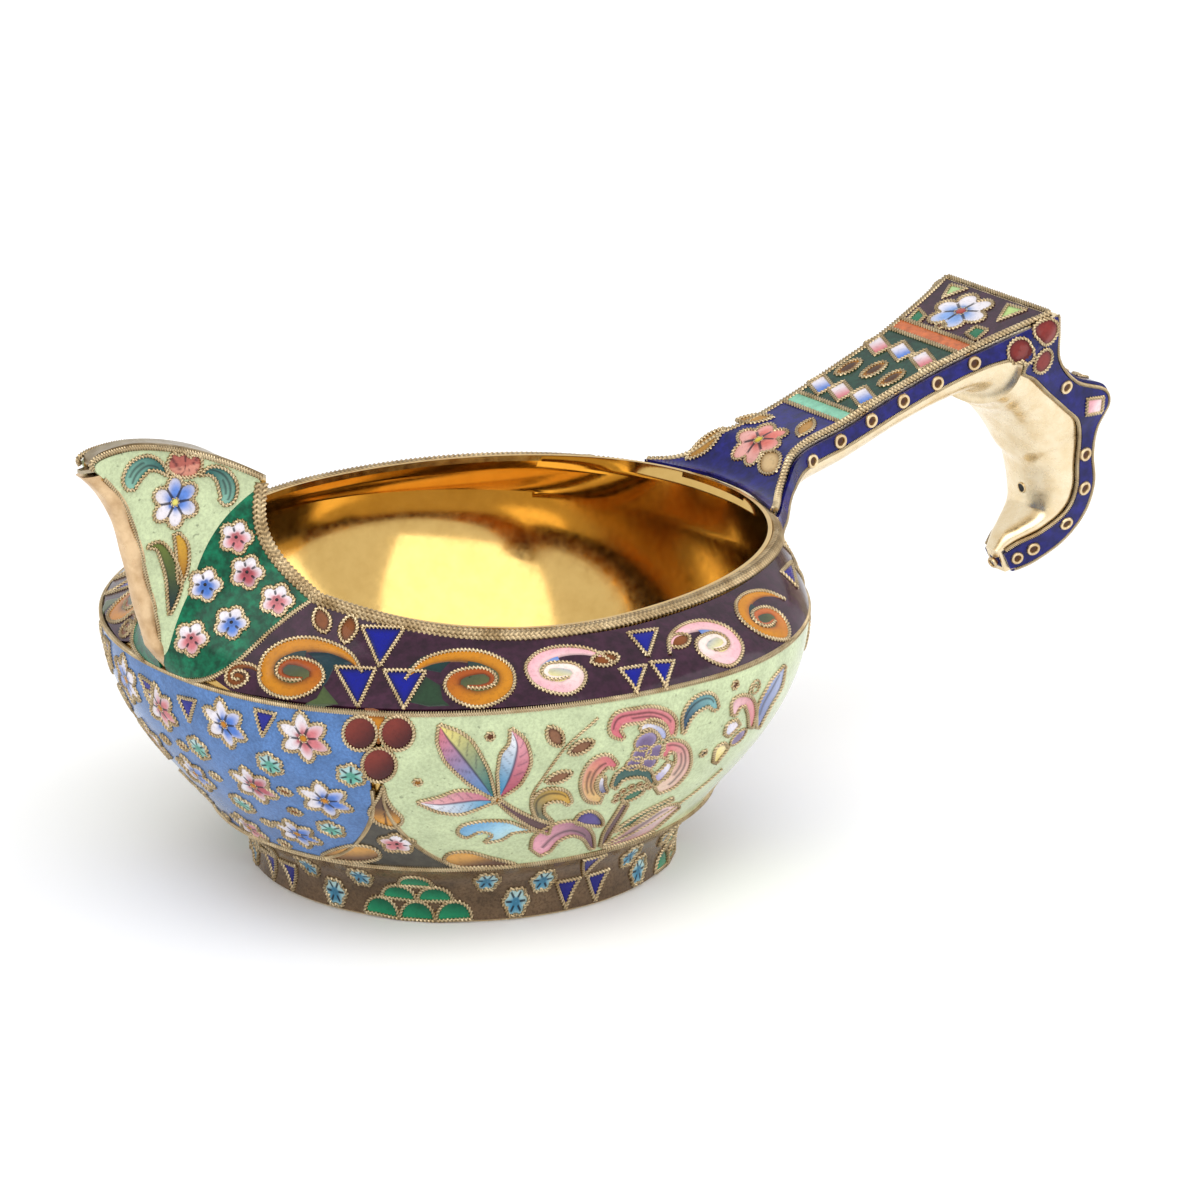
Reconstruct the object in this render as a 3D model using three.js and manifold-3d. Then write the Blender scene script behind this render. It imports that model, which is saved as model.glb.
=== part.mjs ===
// An enamelled silver-gilt ladle: a low round bowl on a flared foot, with a tall pointed prow at the front
// (-X) and a box-shaped handle at the back (+X) that ends in a hook. The outside is covered with enamel
// panels, which are thin skins on the metal with twisted wires along their borders.
// Millimetres. Z is up, and the part stands on the plane z = 0 with the middle of its box over the origin.

import * as THREE from 'three';
import { mergeVertices } from 'three/addons/utils/BufferGeometryUtils.js';
import Module from 'manifold-3d';

const wasm = await Module();
wasm.setup();

// Driving dimensions

const METAL_WALL = 0.9;
const SKIN = 0.35;          // thickness of the enamel
const SKIN_GAP = 0.1;       // between a skin and the metal that carries it
const SEAT_GAP = 0.3;       // between pieces that are cut to fit each other
const WIRE = 0.25;          // radius of a border wire
const ROPE = 0.6;           // radius of the rope on the rim
const WIRE_GAP = 0.12;      // between a wire and what it lies on
const ROPE_GAP = 0.18;      // between the rope and the metal
const ROPE_MARGIN = 0.9;    // height from the rim to the skin below the rope, where the shoulder lies flat
const MARGIN = 0.7;         // from the middle of a wire to the edge of the skin beside it
const OVERRUN = 6;

const FOOT = { radiusX: 21.7, radiusY: 21.3, topX: 26.2, topY: 24.7, height: 7.4, wall: 1.1, bead: 0.9 };
const BELLY = { height: 27.7, centre: 4.0, front: 41.1, rear: 29.4, half: 35.3 };
const RIM = { height: 32.4, centre: 0.7, rear: 33.5, half: 27.1, lip: 0.6 };
const PROW = {
  crestHeight: 52.1,        // highest place of the top edge
  tipDrop: 1.8,             // how far below it the front end of the top edge lies
  cornerDrop: 5.1,          // and how far below it the rear end
  rootRise: 3.7,            // how far the rim climbs before it meets the prow
  creaseRise: 1.9,          // where the line between the prow's two colours starts, above the belly
  lean: 4.4,                // how far the stem runs forward in its lower part
  tipLean: 4.2,             // and how far its tip turns forward
  blade: 0.75,              // half the thickness at the stem
  bladeRise: 3.0,           // height over which that thickness comes in
  stem: 1.2,                // how far the stem strip stands out
  tip: 0.5,                 // how far its upper end runs on beyond the top edge
  topPlate: 0.35,
};
const TIP_HEIGHT = PROW.crestHeight - PROW.tipDrop;
const CORNER_HEIGHT = PROW.crestHeight - PROW.cornerDrop;
const HANDLE = {
  rootX: 33.2, endX: 73.5,  // X of the strap's two ends
  rootRise: 0.5,            // how far the strap's root lies above the rim
  rise: 13.1,               // and its end above its root
  halfEnd: 8.75,            // half the width of the strap at its end
  band: 2.3,                // height of the enamelled side of the strap
  bulge: 3.0,               // how far the underside swells below it
  hookDrop: 31.2, hookReach: 9.4,
  ventRadius: 0.6, ventDepth: 2.5, ventShare: 0.66,
};

// Shape of the plan curves: 0.5 is an ellipse, less is squarer, and more than 1 is a hollow-sided point
const FOOT_POWER = 0.5;
const BELLY_POWER = 0.45;
const REAR_POWER = 0.47;
const PROW_POWER = 3.8;
// Side profile of the bowl from the foot to the belly, as shares of that step outward and upward
const PROFILE_SHARES = [[0, 0], [0.02, 0.1], [1, 0.5], [1, 1]];
const FLARE_POWER = 2.9;
const SHOULDER_POWER = 1.4;
const RISE_POWER = 3.7;
const STEM_POWER = 6;
const CREST_SHARE = 0.8;    // where the crest lies, as the cosine of its plan angle
const WIRE_POWER = 1.75;    // how the wire under the prow climbs
const CREASE_POWER = 1.45;  // how the line between the prow's two colours climbs

// Plan angles, in degrees from the prow
const CORNER_ANGLE = 49;
const CORNER_BOW = 3.2;
const SPANDREL_ANGLE = 38;
const SPANDREL_HALF = 17;
const SPANDREL_POWER = 1.7;
const SPANDREL_TOP_SHARE = 0.64;

// Strap of the handle: places along it, height and half width there, as shares of its length, rise and end
const STRAP_SHARES = [
  [0, 0, 1.2], [0.1, 0.15, 0.8], [0.21, 0.27, 0.55], [0.34, 0.37, 0.56],
  [0.5, 0.53, 0.575], [0.67, 0.69, 0.63], [0.84, 0.85, 0.79], [1, 1, 1],
];
// Hook, from the strap's end to its tip: back outline and inner border as shares of reach and drop, half
// width as a share of the strap's, and the swelling of the inner face, backward and up, as shares of
// its depth
const CORNER_SHARES = [-0.5, 0.15];
const CORNER_SWELLING = [-0.33, -2.03];
const HOOK_SHARES = [
  [0, 0, ...CORNER_SHARES, 1, ...CORNER_SWELLING],
  [0.05, 0.07, -0.5, 0.185, 0.95, 0.17, -1.9],
  [0.1, 0.17, -0.3, 0.22, 0.9, 0.03, -1.87],
  [0.45, 0.28, 0.02, 0.3, 0.81, -0.47, -1.57],
  [0.95, 0.345, 0.33, 0.38, 0.76, -1, -1.4],
  [1.02, 0.39, 0.52, 0.43, 0.73, -1.27, -1.5],
  [0.91, 0.48, 0.63, 0.5, 0.65, -1.27, -1.2],
  [0.88, 0.58, 0.64, 0.6, 0.61, -1.1, -0.7],
  [0.94, 0.69, 0.66, 0.7, 0.57, -1.03, -0.33],
  [0.89, 0.8, 0.6, 0.78, 0.48, -0.93, -0.1],
  [0.7, 0.9, 0.34, 0.85, 0.34, -0.7, 0.17],
  [0.32, 0.975, 0.06, 0.89, 0.2, -0.3, 0.27],
  [0, 1, -0.1, 0.925, 0.12, -0.13, 0.13],
];
// Panels on the strap, as shares of its length
const PANEL_SHARES = {
  root: [0.06, 0.33],
  turquoise: [0.345, 0.385],
  lozenge: [0.4, 0.715],
  orange: [0.73, 0.77],
  end: [0.785, 0.975],
};

const COLUMNS = { prow: 6, spandrel: 3, side: 10, rear: 4 };
const ROWS = { foot: 3, body: 6, shoulder: 3, green: 3, cream: 5 };
const TUBE_SIDES = 6;
const HALVINGS = 30;
const STEP = 1e-3;          // small step for slopes, in angle, level and height alike
const WELD = 1e-5;          // corners closer than this are one corner
const BODY_EDGE_SHARES = [0.1, 0.975];
const SPANDREL_SKIN_SHARE = 0.9;
const SPANDREL_INSET_SHARE = 0.35;
const BORDER_SHARE = 0.25;   // most that a border may take of what it lies on
const STEM_EDGE_SHARE = 0.4;
const STRAP_START_SHARE = 0.03;
const BAND_COLUMNS = [4, 23];
const LIP_COLUMNS = 2;
const HOOK_PANEL_SHARE = 0.04;  // where the enamel on the hook's back starts
// Where the strap's sides, and the swelling below them, start to turn towards the corner
const BAND_TURN_SHARE = 0.715;
const SWELL_TURN_SHARE = 0.5;
const HOOK_SPLIT_COUNT = 2;   // sections of the hook for each of its rows of shares
const BULGE_STEPS = 3;

// Materials

function finish(color, roughness, metalness) {
  return new THREE.MeshStandardMaterial({ color, roughness, metalness });
}
const GILT = finish(0xd9b978, 0.3, 1);
const GILT_INSIDE = finish(0xc08a34, 0.22, 1);
const BLUE = finish(0x5f82be, 0.3, 0);
const CREAM = finish(0xcdd7b9, 0.3, 0);
const GREEN = finish(0x005a3c, 0.25, 0);
const AUBERGINE = finish(0x462d41, 0.25, 0);
const BROWN = finish(0x69503c, 0.3, 0);
const GREY = finish(0x5f5a55, 0.3, 0);
const NAVY = finish(0x2d2d82, 0.25, 0);
const TURQUOISE = finish(0x82bea5, 0.3, 0);
const ORANGE = finish(0xbe5f32, 0.3, 0);
const DARK_GREEN = finish(0x1e4637, 0.25, 0);

// Small helpers

const rad = THREE.MathUtils.degToRad;
const { lerp, clamp } = THREE.MathUtils;
const smooth = (t) => t * t * (3 - 2 * t);
const share = (value, low, high) => (high > low ? clamp((value - low) / (high - low), 0, 1) : 0);
const inner = (list) => list.slice(1, -1);
const steps = (count) => Array.from({ length: count + 1 }, (_, i) => i / count);
const bezier = new THREE.CubicBezierCurve(...PROFILE_SHARES.map(([x, y]) => new THREE.Vector2(x, y)));

// A closed mesh from quads, each given by its four corner points. Corners that meet are welded.
function solidFromQuads(quads) {
  const positions = [];
  for (const [a, b, c, d] of quads) {
    for (const p of [a, b, c, a, c, d]) positions.push(p.x, p.y, p.z);
  }
  const loose = new THREE.BufferGeometry();
  loose.setAttribute('position', new THREE.Float32BufferAttribute(positions, 3));
  const welded = mergeVertices(loose, WELD);
  const index = welded.index.array;
  const kept = [];
  for (let i = 0; i < index.length; i += 3) {
    const [a, b, c] = [index[i], index[i + 1], index[i + 2]];
    if (a !== b && b !== c && c !== a) kept.push(a, b, c);
  }
  welded.setIndex(kept);
  return welded;
}

// The same quad seen from its other side, with the same diagonal
const turned = ([a, b, c, d]) => [a, d, c, b];
const mirror = (p) => new THREE.Vector3(p.x, -p.y, p.z);
const mirrorQuads = (quads) => quads.map((quad) => turned(quad).map(mirror));

// Quads over a grid of points, rows[j][i]
function gridQuads(rows, flip = false) {
  const quads = [];
  for (let j = 0; j + 1 < rows.length; j++) {
    for (let i = 0; i + 1 < rows[j].length; i++) {
      const q = [rows[j][i], rows[j][i + 1], rows[j + 1][i + 1], rows[j + 1][i]];
      quads.push(flip ? turned(q) : q);
    }
  }
  return quads;
}

// Quads of a slab between two grids of the same size, closed along its sides
function slab(outer, inner, openStart = false, openEnd = false) {
  const quads = [...gridQuads(outer), ...gridQuads(inner, true)];
  const last = outer.length - 1;
  const end = outer[0].length - 1;
  for (let i = 0; i < end; i++) {
    quads.push([inner[0][i], inner[0][i + 1], outer[0][i + 1], outer[0][i]]);
    quads.push([outer[last][i], outer[last][i + 1], inner[last][i + 1], inner[last][i]]);
  }
  for (let j = 0; j < last; j++) {
    if (!openStart) quads.push([inner[j + 1][0], inner[j][0], outer[j][0], outer[j + 1][0]]);
    if (!openEnd) quads.push([outer[j + 1][end], outer[j][end], inner[j][end], inner[j + 1][end]]);
  }
  return quads;
}

// A solid through rings of points, closed by fans on both ends or joined end to start
function loft(rings, closed = false) {
  const quads = [];
  const count = rings[0].length;
  const total = rings.length;
  for (let k = 0; k < (closed ? total : total - 1); k++) {
    const [a, b] = [rings[k], rings[(k + 1) % total]];
    for (let i = 0; i < count; i++) {
      const n = (i + 1) % count;
      quads.push([a[i], a[n], b[n], b[i]]);
    }
  }
  if (!closed) {
    for (const [ring, flip] of [[rings[0], true], [rings[total - 1], false]]) {
      const middle = ring.reduce((sum, p) => sum.add(p), new THREE.Vector3()).divideScalar(count);
      for (let i = 0; i < count; i++) {
        const n = (i + 1) % count;
        quads.push(flip ? [middle, ring[n], ring[i], middle] : [middle, ring[i], ring[n], middle]);
      }
    }
  }
  return solidFromQuads(quads);
}

// A tube along a path. Each place has a point and the direction in which the surface under it faces.
function tube(places, radius, closed) {
  const rings = places.map(({ point, up }, k) => {
    const before = places[closed ? (k + places.length - 1) % places.length : Math.max(k - 1, 0)].point;
    const after = places[closed ? (k + 1) % places.length : Math.min(k + 1, places.length - 1)].point;
    const along = after.clone().sub(before).normalize();
    const side = up.clone().cross(along).normalize();
    const top = along.clone().cross(side).normalize();
    return steps(TUBE_SIDES).slice(0, -1).map((turn) => point.clone()
      .addScaledVector(side, radius * Math.cos(2 * Math.PI * (turn + 0.5 / TUBE_SIDES)))
      .addScaledVector(top, radius * Math.sin(2 * Math.PI * (turn + 0.5 / TUBE_SIDES))));
  });
  return loft(rings, closed);
}

function toManifold(geometry) {
  const bare = new THREE.BufferGeometry();
  bare.setAttribute('position', geometry.getAttribute('position'));
  if (geometry.index) bare.setIndex(geometry.index);
  const merged = mergeVertices(bare, WELD);
  return new wasm.Manifold(new wasm.Mesh({
    numProp: 3,
    vertProperties: new Float32Array(merged.getAttribute('position').array),
    triVerts: new Uint32Array(merged.index.array),
  }));
}

function fromManifold(solid) {
  const mesh = solid.getMesh();
  const geometry = new THREE.BufferGeometry();
  geometry.setAttribute('position', new THREE.BufferAttribute(mesh.vertProperties, 3));
  geometry.setIndex(new THREE.BufferAttribute(mesh.triVerts, 1));
  return geometry;
}

// The outer surface of foot, bowl and prow: plan curves stacked over each other

// Height share of the prow, 0 at the belly and 1 at the front end of its top edge
const prowShare = (z) => Math.max(0, (z - BELLY.height) / (TIP_HEIGHT - BELLY.height));
const stemX = (z) => {
  const h = prowShare(z);
  return BELLY.centre - BELLY.front - PROW.lean * (1 - (1 - h) ** 2) - PROW.tipLean * h ** STEM_POWER;
};

// The plan curve at level s: 0 to 1 is the foot, 1 to 2 the bowl up to its belly; above that z is given
function planBelow(level) {
  if (level <= 1) {
    const flare = level ** FLARE_POWER;
    const x = lerp(FOOT.radiusX, FOOT.topX, flare);
    return {
      z: FOOT.height * level, centre: 0, front: x, rear: x, half: () => lerp(FOOT.radiusY, FOOT.topY, flare),
      power: FOOT_POWER, rearPower: FOOT_POWER, blade: 0,
    };
  }
  const out = bezier.getPoint(level - 1);
  return {
    z: lerp(FOOT.height, BELLY.height, out.y),
    centre: lerp(0, BELLY.centre, out.x),
    front: lerp(FOOT.topX, BELLY.front, out.x),
    rear: lerp(FOOT.topX, BELLY.rear, out.x),
    half: () => lerp(FOOT.topY, BELLY.half, out.x),
    power: lerp(FOOT_POWER, BELLY_POWER, out.x),
    rearPower: lerp(FOOT_POWER, REAR_POWER, out.x),
    blade: 0,
  };
}

// How far the shoulder has come in at a height. It breaks at the rim, but runs smoothly into the prow.
function inward(z, angle) {
  const climbed = share(z, BELLY.height, rimHeight(Math.max(angle, rad(CORNER_ANGLE))));
  return lerp(climbed ** SHOULDER_POWER, smooth(climbed), smooth(share(Math.cos(angle), 0, cornerCosine)));
}
function planAbove(z) {
  const h = (z - BELLY.height) / (RIM.height - BELLY.height);
  const centre = lerp(BELLY.centre, RIM.centre, clamp(h, 0, 1));
  return {
    z, centre,
    front: centre - stemX(z),
    rear: lerp(BELLY.centre + BELLY.rear, RIM.centre + RIM.rear, clamp(h, 0, 1)) - centre,
    half: (angle) => lerp(BELLY.half, RIM.half, inward(z, angle)),
    power: lerp(BELLY_POWER, PROW_POWER, prowShare(z)),
    rearPower: REAR_POWER,
    blade: PROW.blade * share(z, BELLY.height, BELLY.height + PROW.bladeRise),
  };
}

// The point of a plan curve at an angle from the prow, on the near side (-Y)
function planPoint(plan, angle) {
  const c = Math.cos(angle);
  const s = Math.max(Math.sin(angle), 0);
  if (c <= 0) {
    const y = -plan.half(angle) * s ** (2 * plan.rearPower);
    return new THREE.Vector3(plan.centre - plan.rear * c, y, plan.z);
  }
  const blade = plan.blade * c;
  const y = -blade - (plan.half(angle) - blade) * s ** (2 * plan.power);
  return new THREE.Vector3(plan.centre - plan.front * c, y, plan.z);
}

// Heights of the borders above the belly, by plan angle
const cornerCosine = Math.cos(rad(CORNER_ANGLE));
function rimHeight(angle) {
  const c = Math.max(Math.cos(angle), 0);
  return RIM.height + PROW.rootRise * Math.min(c / cornerCosine, 1) ** RISE_POWER;
}
const rootHeight = rimHeight(rad(CORNER_ANGLE));
function crestHeight(along) {
  const c = lerp(1, cornerCosine, along);
  if (c < CREST_SHARE) {
    const back = (CREST_SHARE - c) / (CREST_SHARE - cornerCosine);
    return PROW.crestHeight - (PROW.crestHeight - CORNER_HEIGHT) * back ** 2;
  }
  const forward = (c - CREST_SHARE) / (1 - CREST_SHARE);
  return PROW.crestHeight - (PROW.crestHeight - TIP_HEIGHT) * forward ** 2;
}
const lowerWire = (along) => BELLY.height + (rootHeight - BELLY.height) * along ** WIRE_POWER;
const crease = (along) => lerp(BELLY.height + PROW.creaseRise, CORNER_HEIGHT, along ** CREASE_POWER);

// The grid that bowl, skins and wires share. Columns run from the prow to the handle on the near side,
// rows from the foot to the top edge.

const MARK = { blue: COLUMNS.prow };
MARK.cream = MARK.blue + COLUMNS.spandrel;
MARK.creamEnd = MARK.cream + COLUMNS.side;
MARK.rearBlue = MARK.creamEnd + COLUMNS.spandrel;
MARK.end = MARK.rearBlue + COLUMNS.rear;
const wireAngle = THREE.MathUtils.radToDeg(MARGIN / BELLY.half);

function spread(column, marks) {
  const stops = [0, MARK.blue, MARK.cream, MARK.creamEnd, MARK.rearBlue, MARK.end];
  const k = Math.max(stops.findIndex((stop) => column <= stop), 1);
  return lerp(marks[k - 1], marks[k], (column - stops[k - 1]) / (stops[k] - stops[k - 1]));
}
// Angles of the columns where the spandrels between the panels are as wide as twice half
const REAR_ANGLE = 180 - SPANDREL_ANGLE;
const anglesBelow = (column, half) => spread(column, [
  0, SPANDREL_ANGLE - half, SPANDREL_ANGLE + half, REAR_ANGLE - half, REAR_ANGLE + half, 180,
]);
const prowAngle = (column) => CORNER_ANGLE * (column / MARK.cream);
const anglesAbove = (column) => (column <= MARK.cream ? prowAngle(column)
  : lerp(CORNER_ANGLE, 180, (column - MARK.cream) / (MARK.end - MARK.cream)));

// A point of the surface with the direction in which the surface faces there
function facing(planAt, level, angle, low, high) {
  const at = (l, a) => planPoint(planAt(l), a);
  const turn = at(level, angle + STEP).sub(at(level, Math.max(angle - STEP, 0)));
  const climb = at(Math.min(level + STEP, high), angle).sub(at(Math.max(level - STEP, low), angle));
  return { point: at(level, angle), up: turn.clone().cross(climb).normalize() };
}

function bodyAt(column, level) {
  const below = share(1 + SPANDREL_TOP_SHARE - level, 0, SPANDREL_TOP_SHARE);
  const half = wireAngle + SPANDREL_HALF * below ** SPANDREL_POWER;
  return facing(planBelow, level, rad(anglesBelow(column, half)), 1, 2);
}
function shoulderAt(column, z) {
  const along = share(z, BELLY.height, shoulderTop(column));
  const angle = rad(lerp(anglesBelow(column, wireAngle), anglesAbove(column), along));
  const top = column > MARK.cream ? shoulderTop(column) : PROW.crestHeight;
  return facing(planAbove, z, angle, BELLY.height, top);
}
function prowAt(column, z) {
  const bow = CORNER_BOW * Math.sin(Math.PI * share(z, rootHeight, CORNER_HEIGHT));
  const angle = rad(prowAngle(column) * (1 - bow / CORNER_ANGLE));
  return facing(planAbove, z, angle, BELLY.height, PROW.crestHeight + OVERRUN);
}
const prowShareOf = (column) => Math.min(column / MARK.cream, 1);
const shoulderTop = (column) => (column < MARK.cream ? lowerWire(prowShareOf(column))
  : rimHeight(rad(anglesAbove(column))));

// Heights from low to high, with a narrow step for the border at each end
function ladder(low, high, count, lowMargin, highMargin) {
  const room = (high - low) * BORDER_SHARE;
  const [a, b] = [low + Math.min(lowMargin, room), high - Math.min(highMargin, room)];
  return [low, ...steps(count).map((t) => lerp(a, b, t)), high];
}

const creaseGap = SEAT_GAP / 2;
const row = (at, heights) => (k) => (column) => at(column, heights(column)[k]);
const rowsOf = (count, make) => Array.from({ length: count + 3 }, (_, k) => make(k));
const bodyLevels = [1, ...steps(ROWS.body).map((t) => 1 + lerp(...BODY_EDGE_SHARES, t)), 2];
const underRope = (column) => lerp(2 * ROPE, ROPE_MARGIN, share(column, MARK.cream, MARK.creamEnd));
const ZONES = {
  body: bodyLevels.map((level) => (column) => bodyAt(column, level)),
  shoulder: rowsOf(ROWS.shoulder, row(shoulderAt, (c) => ladder(
    BELLY.height, shoulderTop(c), ROWS.shoulder, MARGIN, underRope(c)))),
  green: rowsOf(ROWS.green, row(prowAt, (c) => ladder(
    lowerWire(prowShareOf(c)), crease(prowShareOf(c)), ROWS.green, MARGIN, creaseGap))),
  cream: rowsOf(ROWS.cream, row(prowAt, (c) => ladder(
    crease(prowShareOf(c)), crestHeight(prowShareOf(c)), ROWS.cream, creaseGap, MARGIN + WIRE))),
};

const edgeColumn = (2 * ROPE + WIRE_GAP) / (BELLY.half * rad(CORNER_ANGLE) / MARK.cream);
const allColumns = [...steps(MARK.end).map((t) => Math.round(t * MARK.end)), MARK.cream - edgeColumn,
  MARK.cream + edgeColumn].sort((a, b) => a - b);
const columnsBetween = (low, high) => allColumns.filter((c) => c >= low && c <= high);
const prowColumns = columnsBetween(0, MARK.cream);

const offset = ({ point, up }, distance) => point.clone().addScaledVector(up, distance);

// Foot and bowl

function ringOf(plan, count = 2 * MARK.end) {
  return steps(count).slice(0, -1).map((turn) => {
    const angle = 2 * Math.PI * turn;
    const p = planPoint(plan, angle <= Math.PI ? angle : 2 * Math.PI - angle);
    return angle <= Math.PI ? p : mirror(p);
  });
}
const shrunk = (plan, by, z = plan.z) => ({
  ...plan, front: plan.front - by, rear: plan.rear - by, half: (angle) => plan.half(angle) - by, z,
});

// A closed band between two offsets of the foot, at levels given from the bottom up
function footLayer(levels, outward, inward) {
  const outside = levels.map((level) => ringOf(shrunk(planBelow(level), -outward)));
  const inside = levels.map((level) => ringOf(shrunk(planBelow(level), -inward))).reverse();
  return loft([...outside, ...inside], true);
}
const footHeights = ladder(0, FOOT.height - SEAT_GAP, ROWS.foot, FOOT.bead + SEAT_GAP, MARGIN);
const footLevels = footHeights.map((z) => z / FOOT.height);
const footRing = () => footLayer(footLevels, 0, -FOOT.wall);
const footBand = () => footLayer(inner(footLevels), SKIN_GAP + SKIN, SKIN_GAP);

// The wall stands on behind the rope as a lip, which runs out where the rim meets the prow
const lipRise = (column) => RIM.lip * share(column, MARK.cream, MARK.cream + LIP_COLUMNS);

// Column from which the inside of a row is clear of the plane of symmetry
function firstHollow(line) {
  const clear = (c) => offset(line(c), -METAL_WALL).y <= -SKIN_GAP;
  if (clear(0)) return 0;
  let [low, high] = [0, MARK.cream];
  for (let i = 0; i < HALVINGS; i++) {
    const middle = (low + high) / 2;
    if (clear(middle)) high = middle; else low = middle;
  }
  return high;
}
function insideRow(line, columns, isTop) {
  const first = firstHollow(line);
  return columns.map((column) => {
    const c = column < MARK.cream ? lerp(first, MARK.cream, column / MARK.cream) : column;
    const found = line(c);
    if (isTop(column)) found.up.setZ(0).normalize();
    return offset(found, -METAL_WALL);
  });
}

function bowl() {
  const low = [...ZONES.body, ...ZONES.shoulder.slice(1)];
  const high = [...ZONES.green, ...ZONES.cream.slice(1)];
  const outerLow = low.map((line) => allColumns.map((c) => line(c).point));
  const lipped = (points) => points.map((p, i) => p.clone().setZ(p.z + lipRise(allColumns[i])));
  const outerHigh = high.map((line) => prowColumns.map((c) => line(c).point));
  const onTop = (j) => (c) => j === low.length - 1 && c >= MARK.cream;
  const innerLow = low.map((line, j) => insideRow(line, allColumns, onTop(j)));
  const innerHigh = high.map((line, j) => insideRow(line, prowColumns, () => j === high.length - 1));
  innerHigh[0] = innerLow.at(-1).slice(0, prowColumns.length);
  outerLow.push(lipped(outerLow.at(-1)));
  innerLow.push(lipped(innerLow.at(-1)));
  for (const line of innerLow.slice(0, ZONES.body.length)) line[0].setY(0);
  for (const line of innerLow) line[line.length - 1].setY(0);
  for (const line of outerLow) line[line.length - 1].setY(0);
  const floor = innerLow[0].map((p) => p.clone().setZ(FOOT.height + METAL_WALL));
  innerLow[0] = floor;
  const quads = [];
  const half = (side) => {
    const add = (rows, flip) => {
      const found = gridQuads(rows, flip);
      quads.push(...(side === 0 ? found : mirrorQuads(found)));
    };
    add(outerLow, false);
    add(outerHigh, false);
    add(innerLow, true);
    add(innerHigh, true);
    // the edge of the wall: along the rim, up the back of the prow and along its top
    const last = prowColumns.length - 1;
    const lip = [];
    for (let i = allColumns.length - 1; i >= last; i--) lip.push([outerLow.at(-1)[i], innerLow.at(-1)[i]]);
    for (let j = 1; j < outerHigh.length; j++) lip.push([outerHigh[j][last], innerHigh[j][last]]);
    for (let i = last - 1; i >= 0; i--) lip.push([outerHigh.at(-1)[i], innerHigh.at(-1)[i]]);
    add([lip.map((pair) => pair[1]), lip.map((pair) => pair[0])], false);
    // floor and underside, as fans
    const centre = (z) => new THREE.Vector3(0, 0, z);
    add([floor.map(() => centre(FOOT.height + METAL_WALL)), floor], true);
    add([outerLow[0].map(() => centre(FOOT.height)), outerLow[0]], false);
  };
  half(0);
  half(1);
  // the stem closes the outside and the inside between the two halves
  const seam = (rows, flip) => quads.push(...gridQuads(rows.map((l) => [mirror(l[0]), l[0]]), flip));
  seam(outerLow, false);
  seam(outerHigh, false);
  seam(innerLow, true);
  seam(innerHigh, true);
  const [innerTop, outerTop] = [innerHigh, outerHigh].map((rows) => rows.at(-1)[0]);
  quads.push([innerTop, mirror(innerTop), mirror(outerTop), outerTop]);
  return solidFromQuads(quads);
}

// An enamel skin over some columns and rows of the grid
function skin(lines, columns, far) {
  const at = (distance) => lines.map((line) => columns.map((c) => offset(line(c), distance)));
  const quads = slab(at(SKIN_GAP + SKIN), at(SKIN_GAP));
  return solidFromQuads(far ? mirrorQuads(quads) : quads);
}
// A skin that runs across the plane of symmetry
function skinAcross(lines, columns, rear) {
  const at = (distance) => lines.map((line) => {
    const near = columns.map((c) => offset(line(c), distance));
    near[rear ? near.length - 1 : 0].setY(0);
    return near;
  });
  const quads = slab(at(SKIN_GAP + SKIN), at(SKIN_GAP), !rear, rear);
  return solidFromQuads([...quads, ...mirrorQuads(quads)]);
}

const spandrelTop = 1 + SPANDREL_TOP_SHARE * SPANDREL_SKIN_SHARE;
const spandrelLines = inner(ZONES.body).filter((_, k) => bodyLevels[k + 1] < spandrelTop);

// Wires along the grid
const lift = WIRE + WIRE_GAP;
const along = (places, height) => places.map((place) => ({ point: offset(place, height), up: place.up }));
const mirrorPlace = ({ point, up }) => ({ point: mirror(point), up: mirror(up) });
function loop(line, radius) {
  const near = along(allColumns.map(line), radius + WIRE_GAP);
  for (const place of [near[0], near.at(-1)]) place.point.setY(0);
  const far = near.slice(1, -1).map(mirrorPlace).reverse();
  return tube([...near, ...far], radius, true);
}
function openWire(places, far) {
  const near = along(places, lift);
  return tube(far ? near.map(mirrorPlace).reverse() : near, WIRE, false);
}

// The rope lies on the outside of the wall along its edge and climbs the back of the prow
function rimRope() {
  const columns = columnsBetween(MARK.cream, MARK.end).filter((c) => Number.isInteger(c));
  const rim = columns.reverse().map(ZONES.shoulder.at(-1));
  rim[0].point.setY(0);
  rim[0].up.setY(0).normalize();
  const [, ...climbing] = inner(ZONES.green);
  const back = climbing.map((line) => line(MARK.cream));
  const near = [...rim, ...back];
  const edge = [...near.slice(1).map(mirrorPlace).reverse(), ...near];
  const places = edge.map(({ point, up }, k) => {
    const next = edge[Math.min(k + 1, edge.length - 1)].point;
    const run = next.clone().sub(edge[Math.max(k - 1, 0)].point).normalize();
    const away = run.clone().cross(up).normalize();
    const lifted = point.clone().addScaledVector(up, ROPE + ROPE_GAP);
    return { point: lifted.addScaledVector(away, -ROPE), up };
  });
  return tube(places, ROPE, false);
}

// Prow: plate on its top and strip along its stem

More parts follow.
